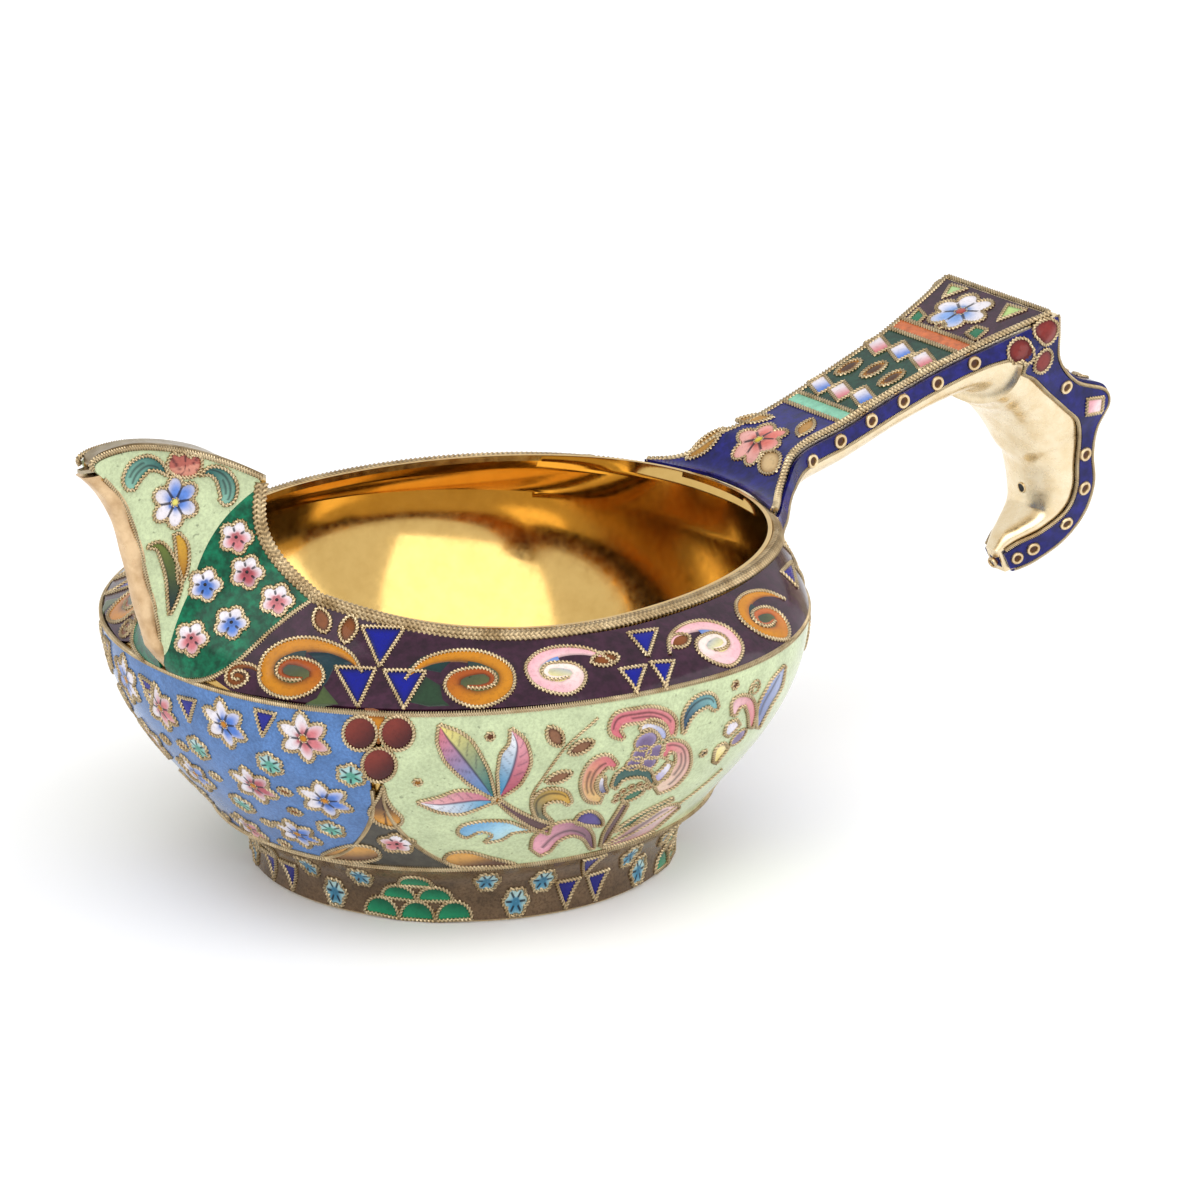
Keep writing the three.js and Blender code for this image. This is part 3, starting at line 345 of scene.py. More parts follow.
class Place:
    """A flat sheet of drawing laid on a chart round one place, turned and sized, in millimetres."""

    def __init__(self, chart, ab, turn=0.0, size=1.0, squeeze=1.0):
        self.chart, self.ab = chart, np.asarray(ab, float)
        a, b = self.ab
        self.origin, normal = chart.facing(a, b)
        right = unit(chart.at(a + STEP, b) - chart.at(a - STEP, b))
        up = np.cross(normal, right)
        c, s = math.cos(turn), math.sin(turn)
        self.e1, self.e2 = right * c + up * s, up * c - right * s
        self.size, self.squeeze = size, np.array([squeeze, 1.0])

    def flat(self, a, b):
        """Where places of the chart lie on the sheet."""
        away = self.chart.at(a, b) - self.origin
        return np.stack([away @ self.e1, away @ self.e2], -1)

    def lay(self, uv):
        """Coordinates on the chart of places on the sheet."""
        uv = np.asarray(uv, float) * self.size * self.squeeze
        return solve(self.flat, np.broadcast_to(self.ab, uv.shape), uv, 6)

    def see(self, pixels):
        """Where pixels of the photograph lie on the sheet."""
        return self.flat(*self.chart.trace(pixels).T)


# Meshes

class Soup:
    """Faces and painted colours gathered for one mesh."""

    def __init__(self):
        self.parts = []

    def grid(self, points, paint=None, flip=False, closed=False):
        """A grid of points, rows by columns. closed joins the last column to the first."""
        rows, columns = points.shape[:2]
        index = np.arange(rows * columns).reshape(rows, columns)
        if closed:
            index = np.hstack([index, index[:, :1]])
        quads = np.stack([index[:-1, :-1], index[:-1, 1:], index[1:, 1:], index[1:, :-1]], -1).reshape(-1, 4)
        points = np.asarray(points, float).reshape(-1, 3)
        paint = np.ones(points.shape) if paint is None else np.asarray(paint, float).reshape(-1, 3)
        self.parts.append((points, quads[:, ::-1] if flip else quads, paint))

    def mirrored(self):
        """The same mesh on the other side of the plane of symmetry."""
        far = Soup()
        far.parts = [(points * FAR_SIDE, quads[:, ::-1], paint) for points, quads, paint in self.parts]
        return far

    def build(self, name, material, sharp):
        points, quads, paint = zip(*self.parts)
        starts = np.cumsum([0] + [len(part) for part in points])
        points = (np.vstack(points) + np.array([SHIFT, 0, 0])) * MM
        points = np.clip(points, np.array(CAD_BOX[0]) + HAIR, np.array(CAD_BOX[1]) - HAIR)
        quads = np.vstack([part + start for part, start in zip(quads, starts)])
        mesh = bpy.data.meshes.new(name)
        mesh.vertices.add(len(points))
        mesh.vertices.foreach_set("co", points.ravel())
        mesh.loops.add(quads.size)
        mesh.loops.foreach_set("vertex_index", quads.ravel())
        mesh.polygons.add(len(quads))
        mesh.polygons.foreach_set("loop_start", np.arange(0, quads.size, 4))
        mesh.polygons.foreach_set("loop_total", np.full(len(quads), 4))
        colour = mesh.color_attributes.new("Paint", "FLOAT_COLOR", "POINT")
        colour.data.foreach_set("color", np.hstack([np.vstack(paint), np.ones((len(points), 1))]).ravel())
        mesh.update(calc_edges=True)
        mesh.validate()
        weld(mesh)
        mesh.polygons.foreach_set("use_smooth", np.ones(len(mesh.polygons), bool))
        mesh.set_sharp_from_angle(angle=math.radians(sharp))
        piece = bpy.data.objects.new(name, mesh)
        bpy.context.scene.collection.objects.link(piece)
        mesh.materials.append(material)
        return piece


def weld(mesh):
    """Welds corners that meet and drops faces without area."""
    work = bmesh.new()
    work.from_mesh(mesh)
    bmesh.ops.remove_doubles(work, verts=work.verts, dist=WELD)
    bmesh.ops.dissolve_degenerate(work, dist=WELD, edges=work.edges)
    work.to_mesh(mesh)
    work.free()


def declare(soup, name, material, *nodes, sharp=SHARP):
    """One piece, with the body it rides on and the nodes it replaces."""
    piece = soup.build(name, material, sharp)
    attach(piece, "root")
    if nodes:
        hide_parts(*nodes)


def both(soup, name, material, node_name=None, sharp=SHARP):
    """One piece on each side."""
    for half, end in ((soup, "_near"), (soup.mirrored(), "_far")):
        declare(half, name + end, material, *([node_name + end] if node_name else []), sharp=sharp)


def across(soup, name, material, *nodes, sharp=SHARP):
    """One piece that runs over the plane of symmetry."""
    soup.parts += soup.mirrored().parts
    declare(soup, name, material, *nodes, sharp=sharp)


# Materials

def principled(name):
    material = bpy.data.materials.new(name)
    material.use_nodes = True
    return material, material.node_tree, material.node_tree.nodes["Principled BSDF"]


def node(tree, kind, **inputs):
    made = tree.nodes.new(kind)
    for key, value in inputs.items():
        made.inputs[key.replace("_", " ")].default_value = value
    return made


def noise(tree, scale, detail=2.0, rough=0.5):
    """Noise in the object's own space, with a scale per millimetre."""
    place = tree.nodes.new("ShaderNodeTexCoord")
    made = node(tree, "ShaderNodeTexNoise", Scale=scale / MM, Detail=detail, Roughness=rough)
    tree.links.new(place.outputs["Object"], made.inputs["Vector"])
    return made.outputs["Fac"]


def ramp(tree, value, stops):
    made = tree.nodes.new("ShaderNodeValToRGB")
    tree.links.new(value, made.inputs["Fac"])
    elements = made.color_ramp.elements
    while len(elements) < len(stops):
        elements.new(0.5)
    for element, (position, colour) in zip(elements, stops):
        element.position = position
        element.color = (*colour, 1)
    return made.outputs["Color"]


def grey(value):
    return (value, value, value)


def mix(tree, kind, factor, a, b):
    made = tree.nodes.new("ShaderNodeMix")
    made.data_type, made.blend_type = "RGBA", kind
    if isinstance(factor, float):
        made.inputs[0].default_value = factor
    else:
        tree.links.new(factor, made.inputs[0])
    for socket, value in ((made.inputs[6], a), (made.inputs[7], b)):
        if hasattr(value, "is_linked"):
            tree.links.new(value, socket)
        else:
            socket.default_value = (*value, 1)
    return made.outputs[2]


def bump(tree, shader, height, strength, distance):
    made = node(tree, "ShaderNodeBump", Strength=strength, Distance=distance * MM)
    tree.links.new(height, made.inputs["Height"])
    tree.links.new(made.outputs["Normal"], shader.inputs["Normal"])


ENAMEL_IOR, ENAMEL_SHINE = 1.5, 0.26


def painted(tree):
    """The colour painted on the mesh: the motifs' colours on cells, and painted shade in the grooves of
    wires.
    """
    made = node(tree, "ShaderNodeVertexColor")
    made.layer_name = "Paint"
    return made.outputs["Color"]


def enamel(name, colour, dark=0.8, light=1.15, grain=3.0, cloud=0.35, pits=0.0, roughness=0.16):
    """Glossy enamel: clouded, finely stippled and softly wavy. With no colour it shows the painted one."""
    material, tree, shader = principled(name)
    base = painted(tree) if colour is None else tuple(colour)
    clouds = ramp(tree, noise(tree, cloud, 3.0), [(0.3, grey(dark)), (0.7, grey(light))])
    tinted = mix(tree, "MULTIPLY", 1.0, clouds, base)
    stops = [(0.36, grey(dark)), (0.5, grey(1.0)), (0.64, grey(light))]
    tinted = mix(tree, "MULTIPLY", 1.0, tinted, ramp(tree, noise(tree, grain, 2.0, 0.7), stops))
    if pits:
        spots = ramp(tree, noise(tree, 1.7, 1.0), [(0.7, grey(1.0)), (0.76, grey(1 - pits))])
        tinted = mix(tree, "MULTIPLY", 1.0, tinted, spots)
    tree.links.new(tinted, shader.inputs["Base Color"])
    shader.inputs["Roughness"].default_value = roughness
    shader.inputs["IOR"].default_value = ENAMEL_IOR
    shader.inputs["Specular IOR Level"].default_value = ENAMEL_SHINE
    bump(tree, shader, noise(tree, 0.8, 3.0), 0.25, 0.08)
    return material


def gilt(name, colour, deep, roughness, wave=0.6, strength=0.2, groove_shaded=False):
    """Gilded metal, unevenly worn and polished. The last switch multiplies in the painted colour, which on
    wires and rope is painted shade in the grooves between strands.
    """
    material, tree, shader = principled(name)
    worn = ramp(tree, noise(tree, 0.45, 4.0, 0.6), [(0.32, tuple(deep)), (0.62, tuple(colour))])
    if groove_shaded:
        worn = mix(tree, "MULTIPLY", 1.0, worn, painted(tree))
    tree.links.new(worn, shader.inputs["Base Color"])
    shader.inputs["Metallic"].default_value = 1.0
    stops = [(0.3, grey(roughness * 0.75)), (0.75, grey(roughness * 1.5))]
    tree.links.new(ramp(tree, noise(tree, 1.1, 4.0, 0.6), stops), shader.inputs["Roughness"])
    bump(tree, shader, noise(tree, wave, 3.0, 0.55), strength, 0.1)
    return material


GILT = gilt("gilt", rgb(238, 222, 190), rgb(226, 204, 164), 0.24, wave=0.35, strength=0.08)
GILT_STRIP = gilt("gilt_strip", rgb(222, 192, 152), rgb(192, 158, 118), 0.34, strength=0.5)
# The rope's gilt takes the painted shade of the grooves between its strands
GILT_ROPE = gilt("gilt_rope", rgb(206, 182, 142), rgb(158, 132, 94), 0.34, groove_shaded=True)
GILT_INSIDE = gilt("gilt_inside", rgb(214, 178, 108), rgb(206, 169, 99), 0.12, wave=0.1, strength=0.25)
GILT_PLATE = gilt("gilt_plate", rgb(176, 164, 142), rgb(144, 130, 108), 0.32)
# The wires' gilt takes the painted shade of the grooves between their strands
GILT_WIRE = gilt("gilt_wire", rgb(228, 206, 166), rgb(192, 164, 122), 0.3, groove_shaded=True)
BLUE = enamel("blue_enamel", rgb(80, 116, 168), 0.84, 1.16, 3.2)
CREAM = enamel("cream_enamel", rgb(186, 198, 158), 0.88, 1.1, 3.0, pits=0.4)
GREEN = enamel("green_enamel", rgb(2, 88, 60), 0.6, 1.4, 1.2, 0.3)
AUBERGINE = enamel("aubergine_enamel", rgb(50, 22, 40), 0.7, 1.3, 1.0, 0.3)
BROWN = enamel("brown_enamel", rgb(96, 76, 56), 0.72, 1.25, 3.2)
GREY = enamel("grey_enamel", rgb(70, 66, 58), 0.85, 1.12, 1.2)
NAVY = enamel("navy_enamel", rgb(20, 20, 90), 0.7, 1.35, 1.0, 0.4)
TURQUOISE = enamel("turquoise_enamel", rgb(128, 190, 162), 0.85, 1.1, 1.2)
DARK_GREEN = enamel("dark_green_enamel", rgb(18, 56, 42), 0.7, 1.3, 1.2)
ORANGE = enamel("orange_enamel", rgb(196, 104, 56), 0.75, 1.15, 1.0)
PAINTED = enamel("painted_enamel", None, 0.86, 1.0, 2.2, 0.5, roughness=0.14)

# Bowl, foot and prow

body = Chart(outside, (math.radians(0.2), math.pi), (0.0, 3.05), 260)
WIRE_ANGLE = math.degrees(2 * MARGIN / BELLY_HALF)


def spandrel_half(v):
    return WIRE_ANGLE + SPANDREL_HALF * share(1 + SPANDREL_TOP - v, 0, SPANDREL_TOP) ** SPANDREL_POWER


def bowed(angle, z):
    """Plan angles of the prow's columns, which bow forward towards its rear edge."""
    bow = CORNER_BOW * np.sin(math.pi * share(z, ROOT_HEIGHT, CORNER_HEIGHT))
    return angle * (1 - bow / CORNER_ANGLE)


def rows_between(low, high, count, low_margin=0.0, high_margin=0.0):
    """Rows of heights between two borders, given per column."""
    low, high = np.asarray(low, float) + low_margin, np.asarray(high, float) - high_margin
    return low + (high - low) * np.linspace(0, 1, count + 1)[:, None]


class Zone:
    """A grid of plan angles and levels on the body, with the levels that bound its slopes."""

    def __init__(self, degrees, levels, bounds):
        self.angles, self.levels = np.broadcast_arrays(np.radians(degrees), levels)
        self.bounds = bounds

    def at(self, height):
        return body.lifted(self.angles, self.levels, height, *self.bounds)


class Patch:
    """A grid of coordinates on a chart."""

    def __init__(self, chart, a, b):
        self.chart = chart
        self.a, self.b = np.broadcast_arrays(a, b)

    def at(self, height):
        return self.chart.lifted(self.a, self.b, height)


def slab_of(zone):
    """A skin over a zone, closed on all sides."""
    soup = Soup()
    top, low = zone.at(SKIN_TOP), zone.at(SKIN_LOW)
    soup.grid(top)
    soup.grid(low, flip=True)
    soup.grid(np.stack([low[0], top[0]]))
    soup.grid(np.stack([top[-1], low[-1]]))
    soup.grid(np.stack([top[:, 0], low[:, 0]]), flip=True)
    soup.grid(np.stack([low[:, -1], top[:, -1]]), flip=True)
    return soup


BORDER = 0.1
PANEL_FOOT, PANEL_TOP = 1.02, 1.997     # levels
PANEL_ROWS, SPANDREL_ROWS = 46, 30


def body_panel(columns, edges, rows=PANEL_ROWS, top=PANEL_TOP):
    """A skin on the bowl. edges gives its first and last plan angle, in degrees, at each level."""
    levels = np.linspace(PANEL_FOOT, top, rows + 1)[:, None]
    angles = lerp(*edges(levels), np.linspace(0, 1, columns + 1)[None, :])
    return slab_of(Zone(angles, levels, BOWL_LEVELS))


REAR_SPANDREL_ANGLE = 180 - SPANDREL_ANGLE
front_edges = lambda v: (np.zeros_like(v), SPANDREL_ANGLE - spandrel_half(v))
cream_edges = lambda v: (SPANDREL_ANGLE + spandrel_half(v), REAR_SPANDREL_ANGLE - spandrel_half(v))
rear_edges = lambda v: (REAR_SPANDREL_ANGLE + spandrel_half(v), np.full_like(v, 180.0))
across(body_panel(60, front_edges), "enamel_front_blue", BLUE, "front_blue_panel")
across(body_panel(50, rear_edges), "enamel_rear_blue", BLUE, "rear_blue_panel")
both(body_panel(130, cream_edges), "enamel_cream_side", CREAM, "cream_side_panel")
for end, middle in (("front", SPANDREL_ANGLE), ("rear", REAR_SPANDREL_ANGLE)):
    spandrel_edges = lambda v: (middle - spandrel_half(v), middle + spandrel_half(v))
    both(body_panel(40, spandrel_edges, SPANDREL_ROWS, 1 + SPANDREL_TOP), "enamel_spandrel_" + end, GREY,
         "spandrel_" + end)

# Shoulder band, from the wire under the prow to the handle
PROW_COLUMNS, REAR_COLUMNS = 60, 150
prow_along = np.linspace(0, 1, PROW_COLUMNS + 1)
prow_angles = prow_along * CORNER_ANGLE
rear_angles = np.linspace(CORNER_ANGLE, 180, REAR_COLUMNS + 1)
all_angles = np.concatenate([prow_angles[:-1], rear_angles])
shoulder_top = np.concatenate([lower_wire(prow_along[:-1]), rim_height(np.radians(rear_angles))])
BAND_COLUMNS = slice(17, -5)
BAND_ROWS, GREEN_ROWS, CREAM_ROWS = 14, 26, 40
ROPE_MARGIN_FULL = 80      # the plan angle from which the band keeps its whole distance from the rope
top_margin = lerp(BORDER, BORDER + ROPE_MARGIN / 2, share(all_angles, CORNER_ANGLE, ROPE_MARGIN_FULL))
heights = rows_between(BELLY_HEIGHT, shoulder_top, BAND_ROWS, BORDER, top_margin)[:, BAND_COLUMNS]
shoulder_zone = Zone(all_angles[None, BAND_COLUMNS], level_of(heights), PROW_LEVELS)
both(slab_of(shoulder_zone), "enamel_shoulder", AUBERGINE, "shoulder_band")


def prow_panel(low, high, rows, margin=0.0):
    """A skin on the prow's side between two lines of heights, clear of the stem and of the rear edge."""
    z = rows_between(low, high, rows, margin)
    angles = bowed(prow_angles[None], z)
    return slab_of(Zone(angles[:, 1:-1], level_of(z[:, 1:-1]), PROW_LEVELS))


crease_line, crest_line = crease(prow_along), crest_height(prow_along)
green_panel = prow_panel(lower_wire(prow_along), crease_line, GREEN_ROWS, BORDER)
both(green_panel, "enamel_prow_green", GREEN, "prow_green_panel")
both(prow_panel(crease_line, crest_line, CREAM_ROWS), "enamel_prow_cream", CREAM, "prow_cream_panel")

# Foot
FOOT_COLUMNS, FOOT_ROWS, FOOT_BAND_ROWS = 220, 24, 22
ROLL_SHARE = 0.2      # the share of its height by which the roll round the bottom edge stands out
foot_angles = np.linspace(0, 180, FOOT_COLUMNS + 1)[None]
band_levels = np.linspace(BORDER * 3 / FOOT_HEIGHT, 1 - BORDER / FOOT_HEIGHT, FOOT_BAND_ROWS)[:, None]
across(slab_of(Zone(foot_angles, band_levels, FOOT_LEVELS)), "enamel_foot_band", BROWN, "foot_band_enamel")


def foot_ring():
    """Near half of the foot, with a roll round its bottom edge."""
    levels = np.linspace(0, 1 - SEAT_GAP / FOOT_HEIGHT, FOOT_ROWS)
    angles = np.radians(foot_angles)
    half_bead = FOOT_BEAD / 2
    roll = FOOT_BEAD * np.sqrt(np.maximum(0, 1 - ((levels * FOOT_HEIGHT - half_bead) / half_bead) ** 2))
    outer = outside(angles, levels[:, None])
    outer[..., :2] += unit(outer[..., :2]) * (roll * ROLL_SHARE)[:, None, None]
    inner = outside(angles, levels[:, None], -FOOT_WALL)
    soup = Soup()
    soup.grid(outer)
    soup.grid(inner, flip=True)
    soup.grid(np.stack([inner[0], outer[0]]))
    soup.grid(np.stack([outer[-1], inner[-1]]))
    return soup


across(foot_ring(), "metal_foot_ring", GILT, "foot_ring")

# Bowl: outside, lip and inside in one
BODY_ROWS, SHOULDER_ROWS, WALL_GREEN_ROWS, WALL_CREAM_ROWS = 40, 16, 16, 26
FLOOR_ROWS, UNDERSIDE_ROWS = 9, 3
LIP_RUN, THIN_RUN = 20, 6      # degrees over which the lip rises, and its wall thins, behind the prow
LIP_THINNING = ((-3, 0.15), (-2, 0.4), (-1, 0.5))


def inner_row(angles, levels, bounds, flat_top=False):
    """The inside of one row: offset by the wall, starting where that is clear of the plane of symmetry."""
    point, normal = body.facing(np.radians(angles), levels, *bounds)
    clear = (point - normal * METAL_WALL)[:, 1] <= -SKIN_LOW
    first = float(angles[np.argmax(clear)])
    spread = np.where(angles < CORNER_ANGLE, lerp(first, CORNER_ANGLE, angles / CORNER_ANGLE), angles)
    point, normal = body.facing(np.radians(spread), np.interp(spread, angles, levels), *bounds)
    if flat_top:
        normal = unit(normal * np.array([1, 1, 0]))
    return point - normal * METAL_WALL


def bowl():
    """Near half of the bowl and of the prow's walls."""
    soup = Soup()
    body_levels = np.linspace(1, 2, BODY_ROWS + 1)
    rows_low = [(all_angles, np.full(len(all_angles), v), BOWL_LEVELS) for v in body_levels]
    shoulder = rows_between(BELLY_HEIGHT, shoulder_top, SHOULDER_ROWS)
    rows_low += [(all_angles, level_of(z), PROW_LEVELS) for z in shoulder[1:]]
    green = rows_between(lower_wire(prow_along), crease_line, WALL_GREEN_ROWS)
    cream = rows_between(crease_line, crest_line, WALL_CREAM_ROWS)
    rows_high = [(bowed(prow_angles, z), level_of(z), PROW_LEVELS) for z in [*green, *cream[1:]]]
    both_rows = rows_low, rows_high
    outer_low, outer_high = ([body.at(np.radians(a), v) for a, v, _ in rows] for rows in both_rows)
    inner_low, inner_high = ([inner_row(*row) for row in rows] for rows in both_rows)
    behind_prow = (all_angles > CORNER_ANGLE)[:, None]
    inner_low[-1] = np.where(behind_prow, inner_row(*rows_low[-1], flat_top=True), inner_low[-1])
    inner_high[-1] = inner_row(*rows_high[-1], flat_top=True)
    inner_high[0] = inner_low[-1][:PROW_COLUMNS + 1].copy()
    lip = RIM_LIP * share(all_angles, CORNER_ANGLE, CORNER_ANGLE + LIP_RUN)[:, None] * np.array([0, 0, 1.0])
    outer_low.append(outer_low[-1] + lip)
    inner_low.append(inner_low[-1] + lip)
    for k, thinner in LIP_THINNING:
        thin = thinner * share(all_angles, CORNER_ANGLE, CORNER_ANGLE + THIN_RUN)[:, None]
        inner_low[k] = lerp(inner_low[k], outer_low[k], thin)
    for row in inner_low[:BODY_ROWS + 1]:
        row[0, 1] = 0
    for row in [*inner_low, *outer_low]:
        row[-1, 1] = 0
    # the floor, inside and below
    inner_low[0][:, 2] = FOOT_HEIGHT + METAL_WALL
    for height, edge, count, flip in ((FOOT_HEIGHT + METAL_WALL, inner_low[0], FLOOR_ROWS, True),
                                      (FOOT_HEIGHT, outer_low[0], UNDERSIDE_ROWS, False)):
        centre = np.array([0, 0, height])
        soup.grid(np.stack([lerp(centre, edge, s) for s in np.linspace(0, 1, count)]), flip=flip)
    walls = ((outer_low, False), (outer_high, False), (inner_low, True), (inner_high, True))
    for rows, flip in walls:
        soup.grid(np.stack(rows), flip=flip)
    # the edge of the wall: along the rim, up the back of the prow and along its top
    outer_edge, inner_edge = (
        np.vstack([low[-1][:PROW_COLUMNS - 1:-1], [row[-1] for row in high[1:]], high[-1][-2::-1]])
        for low, high in ((outer_low, outer_high), (inner_low, inner_high)))
    soup.grid(np.stack([inner_edge, outer_edge]))
    # between the two halves along the stem
    for rows, flip in walls:
        first = np.stack([row[0] for row in rows])
        soup.grid(np.stack([first * IN_PLANE, first], 1), flip=flip)
    ends = np.stack([inner_high[-1][0], outer_high[-1][0]])
    soup.grid(np.stack([ends * IN_PLANE, ends]), flip=True)
    return soup


across(bowl(), "metal_bowl", GILT_INSIDE, "bowl")

# Handle

ROOT_FLARE, ROOT_START, ROOT_CLEARANCE = 35.0, -0.06, 0.95
ROOT_FALL, ROOT_SEAT, ROOT_SLOPE = 5.0, 0.2, 1.2
strap_curve = curve_through(STRAP_SHARES, np.linspace(0, 1, 2001))


def strap_at(t):
    """X and Z of the strap's top and half its width, at shares of its length."""
    z = np.interp(t, strap_curve[:, 0], strap_curve[:, 1]) + np.minimum(t, 0) * ROOT_SLOPE
    half = STRAP_HALF_END * np.interp(t, strap_curve[:, 0], strap_curve[:, 2])
    half = half + np.maximum(-t, 0) * ROOT_FLARE
    return lerp(STRAP_ROOT, STRAP_END, t), lerp(STRAP_ROOT_HEIGHT, STRAP_END_HEIGHT, z), half


# The shares of the strap from which its lower line and its swelling turn towards the hook's
BAND_TURN, SWELL_TURN = 0.715, 0.5
SLOPE_STEP = 1e-3


def strap_stations(t):
    """Top line, lower line, half width and swelling of the strap, at shares of its length."""
    x, z, half = strap_at(t)
    x2, z2, _ = strap_at(np.minimum(t + SLOPE_STEP, 1))
    x1, z1, _ = strap_at(t - SLOPE_STEP)
    slope = unit(np.stack([x2 - x1, z2 - z1], -1))
    down = np.stack([slope[:, 1], -slope[:, 0]], -1)
    corner = np.array([HOOK_REACH * CORNER_SHARES[0], -HOOK_DROP * CORNER_SHARES[1]])
    turn = share(t, SWELL_TURN, 1)[:, None] ** 2
    swell = lerp(down * STRAP_BULGE, np.array(CORNER_SWELLING) * STRAP_BULGE, turn)
    low = lerp(down * STRAP_BAND, corner, share(t, BAND_TURN, 1)[:, None] ** 2)
    top = np.stack([x, z], -1)
    return top, top + low, half, swell


hook_rows = np.array(HOOK_SHARES, float)
hook_scale = np.array([HOOK_REACH, -HOOK_DROP])
hook_start = np.array([STRAP_END, STRAP_END_HEIGHT])


def hook_stations(t):
    """Back line, lower line, half width and swelling of the hook, at shares of its run."""
    half, none = STRAP_HALF_END * hook_rows[:, 4], 0 * hook_rows[:, 4]
    back, low, swell = (curve_through(np.column_stack(columns), t) for columns in (
        (hook_start + hook_rows[:, :2] * hook_scale, half),
        (hook_start + hook_rows[:, 2:4] * hook_scale, none),
        (hook_rows[:, 5:7] * STRAP_BULGE, none)))
    return back[:, :2], low[:, :2], back[:, 2], swell[:, :2]


STRAP_COUNT, HOOK_COUNT = 140, 150
strap_list = np.linspace(ROOT_START, 1, STRAP_COUNT + 1)
parts = [strap_stations(strap_list[:-1]), hook_stations(np.linspace(0, 1, HOOK_COUNT + 1))]
top2, low2, half2, swell2 = (np.concatenate(pair) for pair in zip(*parts))
# where each station stands: 0 to 1 along the strap, 1 to 2 down the hook
station_at = np.concatenate([strap_list[:-1], 1 + np.linspace(0, 1, HOOK_COUNT + 1)])


def xyz(flat, y):
    flat = np.asarray(flat)
    return np.stack([flat[..., 0], np.broadcast_to(y, flat.shape[:-1]), flat[..., 1]], -1)


def settled(points):
    """The strap's top brought down to the rope where it meets the bowl."""
    x, y, z = np.moveaxis(points, -1, 0)
    away = share(x - behind(y, z, ROOT_CLEARANCE), 0, ROOT_FALL)
    low = np.minimum(z, RIM_HEIGHT + ROOT_SEAT)
    return np.stack([x, y, lerp(low, z, smooth(away))], -1)


SIDE_SHARES, CROWN_SHARES = (0.04, 0.3, 0.6, 0.96), (1.0, 0.98, 0.66, 0.33, 0.0)


def handle_body():
    """Near half of the handle, from the middle of its swelling round its side to the middle of its top."""
    turns = np.linspace(math.pi / 2, 0, 13)
    swollen = [xyz(low2 + swell2 * math.sin(a), -half2 * math.cos(a)) for a in turns]
    lows, tops = xyz(low2, -half2), settled(xyz(top2, -half2))
    sides = [lerp(lows, tops, s) for s in SIDE_SHARES]
    crown = [settled(xyz(top2, -half2 * s)) for s in CROWN_SHARES]
    return np.stack([*swollen, *sides, *crown], 1)


def clear_of_bowl(rows, grow):
    """Moves the first places of each line along the handle back to where it leaves the bowl."""
    done = rows.copy()
    for i in range(rows.shape[1]):
        line = rows[:, i]
        out = line[:, 0] - behind(line[:, 1], line[:, 2], grow)
        k = int(np.argmax(out > 0))
        if out[k] <= 0 or k == 0:
            continue
        t = out[k - 1] / (out[k - 1] - out[k])
        done[:k, i] = lerp(line[k - 1], line[k], t)
    return done


handle_rows = clear_of_bowl(handle_body(), ROOT_CLEARANCE)
start_cap, end_cap = handle_rows[0], handle_rows[-1]
start_middle = np.broadcast_to(start_cap.mean(0) * IN_PLANE, start_cap.shape)
handle = Soup()
handle.grid(handle_rows, flip=True)
handle.grid(np.stack([end_cap, np.broadcast_to(end_cap[-1], end_cap.shape)]), flip=True)
handle.grid(np.stack([start_middle, start_cap]), flip=True)
across(handle, "metal_handle", GILT, "handle_body", sharp=40.0)


def between(values, at):
    """Values at stations, in between too."""
    return np.stack([np.interp(at, station_at, values[:, k]) for k in range(values.shape[1])], -1)


def side_at(s, q, distance=0.0):
    """The near side of strap and hook: s along it, q from its lower edge 0 to its upper edge 1."""
    s, q = np.broadcast_arrays(np.asarray(s, float), np.asarray(q, float))
    found = between(np.column_stack([top2, low2, half2]), s.ravel()).reshape(*s.shape, 5)
    high, low, half = found[..., :2], found[..., 2:4], found[..., 4]
    return lerp(xyz(low, -half), settled(xyz(high, -half)), q[..., None])


def top_at(s, y):
    """The top of the strap and the back of the hook: s along it, y across it in millimetres."""
    s, y = np.broadcast_arrays(np.asarray(s, float), np.asarray(y, float))
    found = between(top2, s.ravel()).reshape(*s.shape, 2)
    return settled(xyz(found, y))


side = Chart(side_at, (0.03, 1.99), (0.0, 1.0), 240)
top = Chart(top_at, (0.0, 1.0), (-10.0, 10.0), 200)


def side_inset(s):
    """The share of the side's height that its border takes."""
    wide = np.linalg.norm(between(top2, s) - between(low2, s), axis=-1)
    return np.minimum(MARGIN, wide / 4) / wide


SIDE_START, SIDE_END = -0.03, 1.985
side_s = np.concatenate([np.linspace(SIDE_START, 1, 120)[:-1], np.linspace(1, SIDE_END, 150)])
inset = side_inset(side_s)
side_q = lerp(inset, 1 - inset, np.linspace(0, 1, 9)[:, None])
both(slab_of(Patch(side, side_s[None], side_q)), "enamel_handle_side", NAVY, "handle_side_band")


def clear_start(y):
    """Where along the strap its top comes out from under the rope, at places across it."""
    s = np.linspace(ROOT_START, 0.3, 601)
    x, z, _ = strap_at(s)
    return np.array([s[int(np.argmax(x - behind(value, z, ROOT_CLEARANCE) > 0))] for value in y])


STRAP_MATERIALS = {
    "root": NAVY, "turquoise": TURQUOISE, "lozenge": DARK_GREEN, "orange": ORANGE, "end": AUBERGINE,
}
PANEL_ALONG, PANEL_ACROSS, ROOT_ROWS = 40, 32, 60
for name, material in STRAP_MATERIALS.items():
    first, last = PANEL_SHARES[name]
    wide = np.linspace(-1, 1, PANEL_ACROSS)[:, None]
    s = np.linspace(first, last, PANEL_ALONG)[None]
    if name == "root":
        wide = np.linspace(-1, 1, ROOT_ROWS)[:, None]
        begin = clear_start(wide[:, 0] * (strap_at(ROOT_START / 2)[2] - MARGIN))
        s = lerp(begin[:, None], last, np.linspace(0, 1, ROOT_ROWS)[None])
    y = (strap_at(s)[2] - MARGIN) * wide
    declare(slab_of(Patch(top, s, y)), "enamel_strap_" + name, material, "strap_" + name + "_panel")

